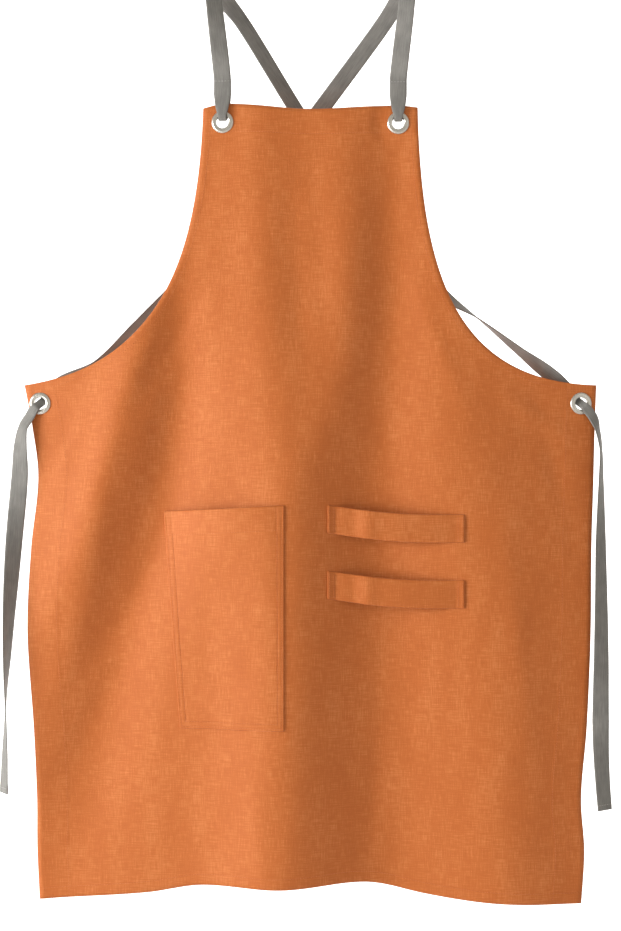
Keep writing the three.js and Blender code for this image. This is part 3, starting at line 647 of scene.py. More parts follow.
def side_place(side, base):
    """(x, down) on one side of the panel for a row that starts at this base level."""
    down = down_at(base, side)
    curve = armholes[side]
    on_armhole = np.interp(down, curve[:, 1], curve[:, 0])
    on_side = side * BODY_HALF * (1 - side_edge[side](skirt_share(base)))
    return np.where(base < ARMHOLE_DROP, on_armhole, on_side), down


# %% [markdown]
# ## The panel's grid
# The rows run straight across from side to side. They crowd together near the side corners,
# where the armholes run almost level, so that the curved edge stays smooth. Rows and columns
# also lie close together along the hems, where the cloth gets thicker.

# %% Rows and columns
STITCH_INSET = 0.002
GROOVE_DEPTH, GROOVE_WIDTH = 0.0002, 0.0009
ARMHOLE_ROWS, SKIRT_ROWS = 92, 128
HEM_COLUMNS, MIDDLE_COLUMNS = 8, 134
LINE_REACH, LINE_STEPS = 0.0016, (-1.6, -0.8, -0.35, 0, 0.35, 0.8, 1.6)


def with_lines(even, lines, reach):
    """Adds closely spaced values round each line to evenly spaced ones."""
    near = np.add.outer(lines, reach * np.array(LINE_STEPS)).ravel()
    clear = np.abs(np.subtract.outer(even, near)).min(axis=1) > 0.5 * reach
    keep = clear | (even == even[0]) | (even == even[-1])
    return np.unique(np.concatenate([even[keep], near]))


def groove(distance):
    """How far a row of stitches pulls the cloth in, a bell across the row."""
    return -GROOVE_DEPTH * bell(distance, GROOVE_WIDTH)


def armhole_rows(count):
    """Base levels spaced evenly along the armholes' own length, both sides together."""
    lengths = []
    for curve in armholes.values():
        steps = np.linalg.norm(np.diff(curve, axis=0), axis=1)
        lengths.append(np.concatenate([[0], np.cumsum(steps)]))
    length = np.mean([a / a[-1] for a in lengths], axis=0)
    down = np.mean([curve[:, 1] for curve in armholes.values()], axis=0)
    down = (down - down[0]) / (down[-1] - down[0]) * ARMHOLE_DROP
    return np.interp(np.linspace(0, 1, count), length, down)


def panel_rows():
    """All base levels, with close pairs at the inner edges of the top and bottom hems."""
    upper = armhole_rows(ARMHOLE_ROWS)
    lower = np.linspace(ARMHOLE_DROP, PANEL_LENGTH, SKIRT_ROWS)[1:]
    lines = [TOP_HEM - STITCH_INSET, PANEL_LENGTH - BOTTOM_HEM + STITCH_INSET]
    return with_lines(np.unique(np.concatenate([upper, lower])), lines, LINE_REACH)


def panel_columns(width):
    """Distances from the left edge: even steps across both side hems, then an even middle."""
    even = np.linspace(0, SIDE_HEM + 0.001, HEM_COLUMNS)
    edge = with_lines(even, [SIDE_HEM - STITCH_INSET], LINE_REACH)
    middle = np.linspace(0, 1, MIDDLE_COLUMNS)[1:-1]
    inner = edge[-1] + middle * (width[:, None] - 2 * edge[-1])
    left = np.broadcast_to(edge, (len(width), len(edge)))
    return np.concatenate([left, inner, width[:, None] - left[:, ::-1]], axis=1)


base = panel_rows()
(left_x, left_down), (right_x, right_down) = side_place(-1, base), side_place(1, base)
from_left = panel_columns(right_x - left_x)
panel_x = left_x[:, None] + from_left
across = 2 * from_left / from_left[:, -1:] - 1
panel_down = down_at(base[:, None], across)
print("panel grid", panel_x.shape)

# %% [markdown]
# ## The hems
# Every edge is turned to the back and stitched, so the panel is twice as thick in a band along
# it. How far a point lies from each edge decides whether it is in a band.

# %% Distance from the edges
HEM_STEP, HEM_OVERLAP, HEM_SWELL = 0.0014, 0.004, 0.0002
SIDE_GROOVE_SHARE = 0.25
SEARCH_CHUNKS = 60


def distance_to(curve, x, down):
    """The least distance from each place to the points of a curve, in chunks to save memory."""
    flat = np.stack([np.ravel(x), np.ravel(down)], axis=1)
    least = [
        np.sqrt(((part[:, None] - curve[None]) ** 2).sum(axis=2).min(axis=1))
        for part in np.array_split(flat, SEARCH_CHUNKS)
    ]
    return np.concatenate(least).reshape(np.shape(x))


def hem_cover(x, down, left, right, base_level):
    """1 where the hem doubles the cloth and 0 elsewhere, with a step under 2 mm wide."""
    top = TOP_HEM - base_level
    bottom = base_level - (PANEL_LENGTH - BOTTOM_HEM)
    below = base_level > ARMHOLE_DROP - HEM_OVERLAP
    sides = np.where(below, SIDE_HEM - np.minimum(x - left, right - x), -HEM_STEP)
    arm = [ARMHOLE_HEM - distance_to(curve[::4], x, down) for curve in armholes.values()]
    return np.max([smooth_step(v / HEM_STEP + 0.5) for v in (top, bottom, sides, *arm)], axis=0)


base_grid = base[:, None] + 0 * panel_x
cover = hem_cover(panel_x, panel_down, left_x[:, None], right_x[:, None], base_grid)
in_top = groove(base - TOP_HEM + STITCH_INSET)
in_bottom = groove(base - PANEL_LENGTH + BOTTOM_HEM - STITCH_INSET)
from_side = np.minimum(from_left, from_left[:, ::-1]) - SIDE_HEM + STITCH_INSET
in_side = SIDE_GROOVE_SHARE * groove(from_side) * (base > ARMHOLE_DROP - HEM_OVERLAP)[:, None]
panel_lift = cloth_lift(panel_x, panel_down)
pulled = ((in_top + in_bottom)[:, None] + in_side) * flat_by_eyelets(panel_x, panel_down)
panel_front = on_panel(panel_x, panel_down, panel_lift + CLOTH / 2 + HEM_SWELL * cover + pulled)
panel_back = on_panel(panel_x, panel_down, panel_lift - CLOTH / 2 - HEM_CLOTH * cover)
panel = closed_sheet("panel", panel_front, panel_back, np.stack([panel_x, panel_down], axis=-1))
print("panel faces", len(panel.data.polygons), "hem share", round(float(cover.mean()), 2))

# %% [markdown]
# ## Holes for the eyelets
# The cloth is punched where an eyelet goes. Four short cylinders cut the holes with a Boolean
# modifier, which is applied at once, so that the panel stays a plain closed mesh.

# %% An eyelet's own directions
BARREL = EYELET_BORE + EYELET_WALL
FRONT_FACE = CLOTH / 2 + GAP
BACK_FACE = -(CLOTH / 2 + HEM_CLOTH + GAP)
CUTTER_SIDES, CUTTER_REACH, CUTTER_TIP = 40, 0.008, 0.0001


def eyelet_axes(name):
    """The eyelet's centre, and its side, up and out directions as three unit vectors."""
    x, down, level, slope_across, slope_down = eyelet_planes[name]
    out = np.array([-slope_across, -1.0, slope_down])
    out /= np.linalg.norm(out)
    side = np.cross(out, [0.0, slope_down, 1.0])
    side /= -np.linalg.norm(side)
    return on_panel(x, down, level), side, np.cross(out, side), out


def turned(name, radius, height, angles):
    """Points of a lathe profile round the eyelet's axis: one row for each profile point."""
    centre, side, up, out = eyelet_axes(name)
    spoke = np.cos(angles)[:, None] * side + np.sin(angles)[:, None] * up
    radius, height = np.asarray(radius, float), np.asarray(height, float)
    return centre + radius[:, None, None] * spoke + height[:, None, None] * out


def lathe(label, name, radius, height, sides=64, closed=True):
    """A closed ring from a profile of radii and heights that is itself a loop."""
    angles = np.linspace(0, 2 * math.pi, sides, endpoint=False)
    grid = turned(name, radius, height, angles)
    rows = len(grid)
    loop = np.concatenate([grid, grid[:1]]) if closed else grid
    faces = quads_of(len(loop), sides, wrap=True) % (rows * sides)
    return write_mesh(label, grid.reshape(-1, 3), faces)


def recalculate(piece):
    """Turns every face outwards."""
    bpy.context.view_layer.objects.active = piece
    bpy.ops.object.select_all(action="DESELECT")
    piece.select_set(True)
    bpy.ops.object.mode_set(mode="EDIT")
    bpy.ops.mesh.select_all(action="SELECT")
    bpy.ops.mesh.normals_make_consistent(inside=False)
    bpy.ops.object.mode_set(mode="OBJECT")


def close_ends(piece, sides):
    """Closes the first and last loops of vertices with one face each."""
    work = bmesh.new()
    work.from_mesh(piece.data)
    points = list(work.verts)
    for loop in (points[:sides], points[-sides:]):
        work.faces.new(loop)
    work.to_mesh(piece.data)
    work.free()


def punch(cloth, names):
    """Cuts the eyelets' holes through a piece of cloth."""
    hole = BARREL + GAP
    radius = [CUTTER_TIP, hole, hole, CUTTER_TIP]
    height = [-CUTTER_REACH, -CUTTER_REACH, CUTTER_REACH, CUTTER_REACH]
    for name in names:
        cutter = lathe("cutter", name, radius, height, sides=CUTTER_SIDES, closed=False)
        close_ends(cutter, CUTTER_SIDES)
        recalculate(cutter)
        cut = cloth.modifiers.new("hole", "BOOLEAN")
        cut.object = cutter
        cut.operation = "DIFFERENCE"
        cut.solver = "EXACT"
        bpy.context.view_layer.objects.active = cloth
        bpy.ops.object.modifier_apply(modifier=cut.name)
        bpy.data.objects.remove(cutter)


punch(panel, EYELETS)
finish_piece(panel, linen, "linen", "body_panel")
print("panel after punching", len(panel.data.polygons), "faces")

# %% [markdown]
# The pocket is a rectangle of the same linen, sewn down at its sides and bottom. It follows the
# drape, and its mouth stands a little open. Its top edge is hemmed like the bib. The cloth rises
# a little beside the seams, and each row of stitches pulls a groove into it.

# %% Pocket
POCKET_FROM_CENTRE, POCKET_TOP, POCKET_BOTTOM = 0.031, 0.140, 0.120
POCKET_DOWN, POCKET_HEIGHT, POCKET_SLANT, POCKET_MOUTH = 0.462, 0.258, 0.008, 0.010
POCKET_HEM, POCKET_HEM_SWELL, POCKET_CRUMPLE = 0.030, 0.0004, 0.0005
POCKET_COLUMNS, POCKET_ROWS, POCKET_LINE_REACH = 56, 96, 0.0012
SEAM_ROWS, SEAM_BAND, SEAM_FADE, SEAM_SWELL = (0.0022, 0.0078), 0.010, 0.006, 0.0002
POCKET_CLOTH_START = (0.4, 0.013)


def pocket_place(a, b):
    """(x, down) on the pocket for shares across from its left side and down from its mouth."""
    width = POCKET_TOP + (POCKET_BOTTOM - POCKET_TOP) * b
    x = -POCKET_FROM_CENTRE - width * (1 - a)
    return x, POCKET_DOWN + POCKET_SLANT * (1 - a) * (1 - b) + POCKET_HEIGHT * b


def pocket_seat(a, b):
    """How high the pocket's back lies: on the panel, plus a gape that fades to the seams."""
    x, down = pocket_place(a, b)
    gape = POCKET_MOUTH * np.sin(math.pi * np.clip(a, 0, 1)) ** 1.2 * (1 - b) ** 2
    crumple = POCKET_CRUMPLE * np.sin(64 * x + 20) * np.sin(41 * down + 0.4) * np.sin(math.pi * a)
    return cloth_lift(x, down) + CLOTH / 2 + GAP + gape + np.abs(crumple)


near_sides = [inset / POCKET_TOP for inset in SEAM_ROWS]
near_sides += [1 - share for share in near_sides]
near_bottom = [1 - inset / POCKET_HEIGHT for inset in SEAM_ROWS]
mouth_line = (POCKET_HEM - STITCH_INSET) / POCKET_HEIGHT
even_across, even_down = np.linspace(0, 1, POCKET_COLUMNS), np.linspace(0, 1, POCKET_ROWS)
a, b = np.meshgrid(
    with_lines(even_across, near_sides, POCKET_LINE_REACH / POCKET_TOP).clip(0, 1),
    with_lines(even_down, [mouth_line, *near_bottom], POCKET_LINE_REACH / POCKET_HEIGHT).clip(0, 1),
)
pocket_x, pocket_down = pocket_place(a, b)
pocket_hem = smooth_step((POCKET_HEM / POCKET_HEIGHT - b) / 0.006 + 0.5)
seam = np.minimum(np.minimum(a, 1 - a) * POCKET_TOP, (1 - b) * POCKET_HEIGHT)
swell = POCKET_HEM_SWELL * pocket_hem + SEAM_SWELL * smooth_step((SEAM_BAND - seam) / SEAM_FADE)
pull = sum(groove(seam - inset) for inset in SEAM_ROWS) + groove((b - mouth_line) * POCKET_HEIGHT)
seat = pocket_seat(a, b)
start_x, start_down = POCKET_CLOTH_START
pocket = closed_sheet(
    "pocket",
    on_panel(pocket_x, pocket_down, seat + CLOTH + swell + pull),
    on_panel(pocket_x, pocket_down, seat),
    np.stack([pocket_x + start_x, pocket_down + start_down], axis=-1),
)
finish_piece(pocket, linen, "linen", "patch_pocket")
print("pocket faces", len(pocket.data.polygons))

# %% [markdown]
# ## The band loops
# Two bands are sewn down at both ends and bridge the furrow between them, so a towel or a tool
# can hang there. Their long edges are folded in, so they look rounded.

# %% Loops
LOOP_FROM_CENTRE, LOOP_LENGTH, LOOP_HEIGHT = 0.020, 0.158, 0.032
LOOP_DOWN, LOOP_PITCH, LOOP_SLANT, LOOP_SAG, LOOP_BOW = 0.462, 0.076, 0.011, 0.004, 0.003
LOOP_SEAM = 0.009 / LOOP_LENGTH
LOOP_SOFT, LOOP_COLUMNS, LOOP_ROWS = 0.0005, 90, 22
LOOP_CLOTH_START, LOOP_CLOTH_STEP = 0.9, 0.3


def loop_place(order, a, b):
    """(x, down) on a band for shares along it and down it."""
    slope = LOOP_SLANT * a + LOOP_SAG * np.sin(math.pi * a)
    down = LOOP_DOWN + order * LOOP_PITCH + slope + LOOP_HEIGHT * b
    return LOOP_FROM_CENTRE + LOOP_LENGTH * a, down


def loop_seat(order, a, b):
    """How high the band's back lies: on the panel at its ends, and on a bowed line between."""
    x, down = loop_place(order, a, b)
    ends = [cloth_lift(*loop_place(order, end, b)) for end in (LOOP_SEAM, 1 - LOOP_SEAM)]
    span = np.clip((a - LOOP_SEAM) / (1 - 2 * LOOP_SEAM), 0, 1)
    bridge = ends[0] + (ends[1] - ends[0]) * span + LOOP_BOW * np.sin(math.pi * span)
    hump = 0.0015 * bell(span - 0.27, 0.07)
    hump = hump - 0.0010 * bell(span - 0.15, 0.06) * (0.6 + 0.4 * b)
    cloth = cloth_lift(x, down)
    free = (span > 0) & (span < 1)
    return np.where(free, np.maximum(cloth, bridge + hump), cloth) + CLOTH / 2 + GAP


def make_loop(name, order):
    """One band as a closed sheet with soft long edges."""
    a, b = np.meshgrid(np.linspace(0, 1, LOOP_COLUMNS), np.linspace(0, 1, LOOP_ROWS))
    x, down = loop_place(order, a, b)
    seat = loop_seat(order, a, b)
    soft = LOOP_SOFT * (1 - (2 * b - 1) ** 8)
    front, back = on_panel(x, down, seat + CLOTH + soft), on_panel(x, down, seat)
    uv = np.stack([x + LOOP_CLOTH_START + order * LOOP_CLOTH_STEP, down], axis=-1)
    return finish_piece(closed_sheet(f"{name}_band", front, back, uv), linen, "linen", name)


loops = [make_loop("upper_loop", 0), make_loop("lower_loop", 1)]
print("loop faces", [len(piece.data.polygons) for piece in loops])

# %% [markdown]
# ## Eyelets and washers
# An eyelet is pressed from thin metal: a rounded flange on the front, a barrel through the cloth
# and a lip that is rolled over a washer behind. A profile turned round the axis gives it.

# %% Eyelet rings
CORNER_CUT = 0.35


def rounded_profile(points, steps=5):
    """A closed profile with each corner cut into a short curve that starts before the corner."""
    points = np.asarray(points, float)
    before, after = np.roll(points, 1, axis=0), np.roll(points, -1, axis=0)
    start, end = points + (before - points) * CORNER_CUT, points + (after - points) * CORNER_CUT
    t = np.linspace(0, 1, steps)[None, :, None]
    curve = start[:, None] * (1 - t) ** 2 + 2 * points[:, None] * t * (1 - t) + end[:, None] * t**2
    return curve.reshape(-1, 2)


def eyelet_profile():
    """Radius and height round the ring, from the crown through the barrel to the lip and back."""
    lip_top = BACK_FACE - WASHER - GAP
    crown, flange = FRONT_FACE + EYELET_CROWN, EYELET_RADIUS - EYELET_BORE
    return [
        (EYELET_BORE, crown - 0.55 * EYELET_CROWN),
        (EYELET_BORE, lip_top - EYELET_WALL * 0.5),
        (EYELET_BORE + 0.4 * EYELET_WALL, lip_top - EYELET_WALL),
        (BARREL + EYELET_LIP * 0.7, lip_top - EYELET_WALL),
        (BARREL + EYELET_LIP, lip_top),
        (BARREL, lip_top),
        (BARREL, FRONT_FACE),
        (EYELET_RADIUS, FRONT_FACE),
        (EYELET_RADIUS - 0.06 * flange, FRONT_FACE + 0.4 * EYELET_CROWN),
        (EYELET_RADIUS - 0.28 * flange, FRONT_FACE + 0.88 * EYELET_CROWN),
        (EYELET_RADIUS - 0.58 * flange, crown),
        (EYELET_RADIUS - 0.86 * flange, crown - 0.18 * EYELET_CROWN),
    ]


def washer_profile():
    """A flat ring behind the cloth with its outer edge rounded over."""
    inner, back = BARREL + GAP, BACK_FACE - WASHER
    return [
        (inner, BACK_FACE),
        (inner, back),
        (EYELET_RADIUS - 0.5 * WASHER, back),
        (EYELET_RADIUS, BACK_FACE - 0.5 * WASHER),
        (EYELET_RADIUS, BACK_FACE),
    ]


for name in EYELETS:
    for part, profile in (("eyelet", eyelet_profile()), ("washer", washer_profile())):
        radius, height = rounded_profile(profile).T
        ring = lathe(f"{name}_{part}_ring", name, radius, height)
        recalculate(ring)
        finish_piece(ring, nickel, "nickel", f"{name}_{part}")
print("eyelets", len(EYELETS))

# %% [markdown]
# ## The straps
# Each strap is one tape. It starts as a tab behind the bib, hooks through the top eyelet, runs
# over the rail, crosses the back, comes through the far side's eyelet and hangs as a tie. The
# route is a list of stations, each with its place, its width and the direction of its width.

# %% Strap stations
STRAP_WIDTH, STRAP_CLOTH = 0.020, 0.0015
GATHERED_WIDTH, GATHERED_CLOTH = 0.0095, 0.0026
STRAPS_APART, RAIL_RADIUS, TAB_LENGTH = 0.226, 0.030, 0.050
CROSS_DROP, CROSS_BEHIND, CROSS_SPACING = 0.166, 0.024, 0.008
TIE_LENGTH, TIE_HEM, TIE_HEM_CLOTH = {"left": 0.4525, "right": 0.4715}, 0.010, 0.0024
PASS_LEAN, PASS_REACH, PASS_DEPTH, PASS_SPREAD = 43, 2.3, 1.35, 0.6
HOOK_REACH = 0.22

FRONT_OUT = FRONT_FACE + EYELET_CROWN + GAP + GATHERED_CLOTH / 2
BACK_OUT = BACK_FACE - WASHER - GAP - EYELET_WALL - GAP - GATHERED_CLOTH / 2
# A bend's columns are distance along in eyelet radii, share of the distance out, and spread.
BEND = [(0.27, 0.66, 0), (0.42, 1.08, 0.05), (0.72, 1.12, 0.2), (1, 1, 0.4)]
# The tab's are share of the way up, how far its layers stand apart, and spread.
TAB = [(0.12, 0.72, 0.75), (0.45, 0.12, 1), (0.8, 0.03, 1), (1, 0, 1)]
# The rail's are angle round it, share outward, turn and roll in degrees.
RAIL = {
    "left": [
        (0, -0.07, 0, 20),
        (45, 0, 2, 8),
        (90, -0.07, 9, 0),
        (135, -0.38, 20, 8),
        (180, -1, 31, 24),
    ],
    "right": [
        (0, -0.07, 0, 20),
        (45, 0, 2, 8),
        (90, -0.07, 9, 0),
        (135, -0.3, 20, 0),
        (180, -0.77, 31, 6),
    ],
}
CROSS_ACROSS = {"left": 0.002, "right": -0.008}
# The back's are shares of the way out, down and forward, then turn and roll.
BACK = {
    "left": [
        (0, 0, 0, 38, 28),
        (0.24, 0.305, 0.1, 40, 30),
        (0.49, 0.59, 0.3, 44, 40),
        (0.632, 0.69, 0.45, 48, 86),
        (0.79, 0.815, 0.65, 52, 114),
    ],
    "right": [
        (0, 0, 0, 38, 4),
        (0.22, 0.3, 0.1, 40, -20),
        (0.467, 0.55, 0.3, 43, -52),
        (0.631, 0.706, 0.45, 45, -60),
        (0.795, 0.868, 0.6, 46, -45),
    ],
}
# A tie's are shares of its length down, of the eyelet's inset outward and of the tape's width
# forward, then turn, roll and spread.
TIE = {
    "left": [
        (0.034, 0.66, 0.26, 32, 20, 0.3),
        (0.062, 1.08, 0.37, 24, 40, 0.6),
        (0.105, 1.24, 0.42, 10, 30, 0.9),
        (0.185, 1.27, 0.45, 3, 8, 1),
        (0.36, 1.62, 0.45, 4, -22, 1),
        (0.545, 1.9, 0.4, 3, -54, 1),
        (0.65, 2, 0.4, 1, -72, 1),
        (0.725, 2.08, 0.35, 0, -88, 1),
        (0.81, 2.1, 0.35, 0, -104, 1),
        (0.9, 2.15, 0.3, 0, -117, 1),
        (1, 2.22, 0.3, 2, -126, 1),
    ],
    "right": [
        (0.034, 0.76, 0.3, 32, 24, 0.3),
        (0.062, 1.02, 0.42, 18, 62, 0.6),
        (0.115, 1.24, 0.58, 4, 74, 0.9),
        (0.19, 1.24, 0.58, 0, 66, 1),
        (0.34, 1.2, 0.54, 0, 45, 1),
        (0.46, 1.2, 0.52, 0, 36, 1),
        (0.61, 1.18, 0.5, 0, 23, 1),
        (0.78, 1.13, 0.45, 1, 6, 1),
        (0.86, 1.15, 0.5, 3, 16, 1),
        (0.94, 1.26, 0.5, 4, 24, 1),
        (1, 1.38, 0.5, 4, 26, 1),
    ],
}


def sideways(mirror, turn, roll):
    """The width's direction for a lean from upright and a roll away from facing the viewer."""
    lean, twist = math.radians(turn), math.radians(roll)
    level = math.cos(twist)
    across = mirror * level * math.sin(lean)
    return np.array([level * math.cos(lean), mirror * math.sin(twist), across])


def station(centre, side, spread=1.0):
    """A station, as wide as the tape has spread from its gathers."""
    width = GATHERED_WIDTH + (STRAP_WIDTH - GATHERED_WIDTH) * spread
    cloth = GATHERED_CLOTH + (STRAP_CLOTH - GATHERED_CLOTH) * spread
    return {"centre": np.asarray(centre, float), "side": side, "width": width, "cloth": cloth}


def through_eyelet(name, way, rows):
    """Stations given by their distance along a way on the cloth and out from it."""
    centre, _, _, out = eyelet_axes(name)
    across = np.cross(way, out)
    across /= np.linalg.norm(across)
    along = np.cross(out, across)
    return [station(centre + along * d + out * o, across, spread) for d, o, spread in rows]


def bend(direction, distance):
    """The bend round the hole's edge, in front of the cloth or behind it."""
    reach = direction * EYELET_RADIUS
    return [(reach * along, out * distance, spread) for along, out, spread in BEND]


def tab_layer(distance):
    """One layer of the sewn tab, from the bib's edge up to the tab's end."""
    joined = math.copysign(STRAP_CLOTH / 2 + GAP, distance)
    above = TAB_LENGTH - TOP_EYELET_DOWN
    return [
        (TOP_EYELET_DOWN + above * up, joined + (distance - joined) * apart, spread)
        for up, apart, spread in TAB
    ]


# %% The whole route
def rail_stations(start, mirror):
    """Half a circle round the rail, leaning towards the crossing behind."""
    radius = RAIL_RADIUS + STRAP_CLOTH / 2
    made = []
    for angle, outward, turn, roll in RAIL[start]:
        turned_by = math.radians(angle)
        x = mirror * (STRAPS_APART / 2 + outward * RAIL_RADIUS)
        place = (x, -radius * math.cos(turned_by), radius * math.sin(turned_by) - RAIL_RADIUS)
        made.append(station(place, sideways(-mirror, turn, roll)))
    return made


def back_stations(start, mirror, name, depth):
    """From the crossing to the side eyelet, as shares of the way between them."""
    centre, _, _, out = eyelet_axes(name)
    first, last = np.array([CROSS_ACROSS[start], depth, -CROSS_DROP]), centre + out * BACK_OUT
    made = []
    for out_share, down_share, near, turn, roll in BACK[start]:
        share = np.array([out_share, near, down_share])
        made.append(station(first + (last - first) * share, sideways(mirror, turn, roll)))
    return made


def pass_stations(name, mirror):
    """Through the side eyelet from behind and over its ring."""
    lean = math.radians(PASS_LEAN)
    way = (mirror * math.sin(lean), 0, -math.cos(lean))
    entry = (-PASS_REACH * EYELET_RADIUS, PASS_DEPTH * BACK_OUT, PASS_SPREAD)
    rows = [entry, *bend(-1, BACK_OUT)[::-1]]
    return through_eyelet(name, way, [*rows, (0, 0, 0), *bend(1, FRONT_OUT)[:-1]])


def tie_stations(side, mirror, name):
    """The hanging end, measured from the eyelet and from the cloth beside it."""
    x, eyelet_down = EYELETS[name]
    made = []
    for down_share, outward, forward, turn, roll, spread in TIE[side]:
        down = eyelet_down + TIE_LENGTH[side] * down_share
        aside = SIDE_EYELET_INSET * outward
        nearest = mirror * min(abs(x) + aside, BODY_HALF)
        height = float(lift(nearest, down)) + STRAP_WIDTH * forward
        place = on_panel(x + mirror * aside, down, height)
        made.append(station(place, sideways(mirror, turn, roll), spread))
    return made


def strap_stations(start):
    """All stations of the strap that starts at this side of the bib."""
    mirror, end = (1, "right") if start == "left" else (-1, "left")
    top, low = f"top_{start}", f"side_{end}"
    depth = CROSS_BEHIND + mirror * CROSS_SPACING / 2
    tab = [
        *tab_layer(BACK_OUT)[::-1],
        *bend(1, BACK_OUT)[::-1],
        (HOOK_REACH * EYELET_RADIUS, 0, 0),
        *bend(1, FRONT_OUT),
        *tab_layer(FRONT_OUT),
    ]
    return [
        *through_eyelet(top, (0, 0, 1), tab),
        *rail_stations(start, -mirror),
        *back_stations(start, mirror, low, depth),
        *pass_stations(low, mirror),
        *tie_stations(end, mirror, low),
    ]


# %% [markdown]
# ## From stations to tape
# A centripetal Catmull-Rom curve goes through the stations without overshooting where they lie
# close together. The tape's section is a flat oval with firm edges, and its ends close in a small
# face.

# %% Smooth route
def catmull_rom(points, samples):
    """Points and directions on a centripetal Catmull-Rom curve, at these places in stations."""
    points = np.concatenate([[2 * points[0] - points[1]], points, [2 * points[-1] - points[-2]]])
    knots = np.linalg.norm(np.diff(points, axis=0), axis=1) ** 0.5
    i = np.minimum(samples.astype(int), len(points) - 4)
    s = (samples - i)[:, None]
    p0, p1, p2, p3 = (points[i + k] for k in range(4))
    t0, t1, t2 = (knots[i + k][:, None] for k in range(3))
    m1 = ((p1 - p0) / t0 - (p2 - p0) / (t0 + t1) + (p2 - p1) / t1) * t1
    m2 = ((p2 - p1) / t1 - (p3 - p1) / (t1 + t2) + (p3 - p2) / t2) * t1
    a, b = 2 * p1 - 2 * p2 + m1 + m2, -3 * p1 + 3 * p2 - 2 * m1 - m2
    place = p1 + m1 * s + b * s**2 + a * s**3
    direction = m1 + 2 * b * s + 3 * a * s**2
    return place, direction / np.linalg.norm(direction, axis=1, keepdims=True)


def tape_samples(centres, step=0.003):
    """Places in stations about one step apart along the route, and at every station."""
    lengths = np.linalg.norm(np.diff(centres, axis=0), axis=1)
    counts = np.maximum(3, np.round(lengths / step)).astype(int)
    parts = [k + np.arange(count) / count for k, count in enumerate(counts)]
    return np.concatenate([*parts, [len(centres) - 1.0]])


def steady_sides(stations):
    """The width's direction at each station, turned about where the next one would flip it."""
    sides = [stations[0]["side"]]
    for item in stations[1:]:
        sides.append(item["side"] if item["side"] @ sides[-1] >= 0 else -item["side"])
    return np.array(sides)


SECTION_SIDES = 14
SQUARENESS = (0.55, 0.45)
TIP, HEM_RISE = 0.02, 0.0012


def tape_section():
    """A flat oval of half width 1 and half thickness 1: a circle whose corners are filled out."""
    angle = np.linspace(0, 2 * math.pi, SECTION_SIDES, endpoint=False)
    parts = zip((np.cos(angle), np.sin(angle)), SQUARENESS)
    return [np.sign(part) * np.abs(part) ** power for part, power in parts]


def strap_route(start):
    """The route's places, directions, widths, thicknesses and lengths."""
    stations = strap_stations(start)
    centres = np.array([item["centre"] for item in stations])
    samples = tape_samples(centres)
    place, direction = catmull_rom(centres, samples)
    index = np.arange(len(stations))
    width, cloth = (
        np.interp(samples, index, [item[key] for item in stations]) for key in ("width", "cloth")
    )
    sides = steady_sides(stations)
    side = np.stack([np.interp(samples, index, sides[:, k]) for k in range(3)], axis=1)
    side -= (side * direction).sum(axis=1, keepdims=True) * direction
    side /= np.linalg.norm(side, axis=1, keepdims=True)
    run = np.concatenate([[0], np.cumsum(np.linalg.norm(np.diff(place, axis=0), axis=1))])
    return place, direction, side, width, cloth, run


def make_strap(start):
    """One strap as a closed tube of flat oval sections, thicker where its end is hemmed."""
    place, direction, side, width, cloth, run = strap_route(start)
    normal = np.cross(direction, side)
    hem = smooth_step((run - (run[-1] - TIE_HEM)) / HEM_RISE)
    cloth = cloth + (TIE_HEM_CLOTH - STRAP_CLOTH) * hem
    u, v = tape_section()
    grid = (
        place[:, None]
        + side[:, None] * (u[None, :, None] * width[:, None, None] / 2)
        + normal[:, None] * (v[None, :, None] * cloth[:, None, None] / 2)
    )
    tips = []
    for end in (grid[0], grid[-1]):
        centre = end.mean(axis=0)
        tips.append(centre + (end - centre) * TIP)
    grid = np.concatenate([tips[:1], grid, tips[1:]])
    along = np.concatenate([run[:1], run, run[-1:]])
    uv = np.stack(np.broadcast_arrays(u[None, :] * STRAP_WIDTH / 2, along[:, None]), axis=-1)
    faces = quads_of(len(grid), SECTION_SIDES, wrap=True)
    piece = write_mesh(f"{start}_strap", grid, faces, uv.reshape(-1, 2))
    close_ends(piece, SECTION_SIDES)
    recalculate(piece)
    finish_piece(piece, tape, "strap_tape", f"{start}_shoulder_strap")
    print(start, "strap", round(float(run[-1]), 3), "m long", len(faces), "faces")


for start in ("left", "right"):
    make_strap(start)

# %% [markdown]
# ## Stitches
# A line of machine stitches is a row of short threads that dip into the cloth at both ends. Each
# is a small spindle that is half sunk in the cloth's front, and a whole row is one mesh.

# %% Rows of stitches
STITCH_PITCH, STITCH_RADIUS, STITCH_SIDES = 0.0031, 0.00028, 5
STITCH_STARTS, STITCH_SHARE = 0.1, 0.8
# The spindle's columns are share along it, then radius and rise as shares of the thread's radius.
SPINDLE = [
    (0.0, 0.15, -0.6),
    (0.12, 0.85, 0.3),
    (0.5, 1.0, 0.7),
    (0.88, 0.85, 0.3),
    (1.0, 0.15, -0.6),
]
STITCH_POINTS = len(SPINDLE) * STITCH_SIDES


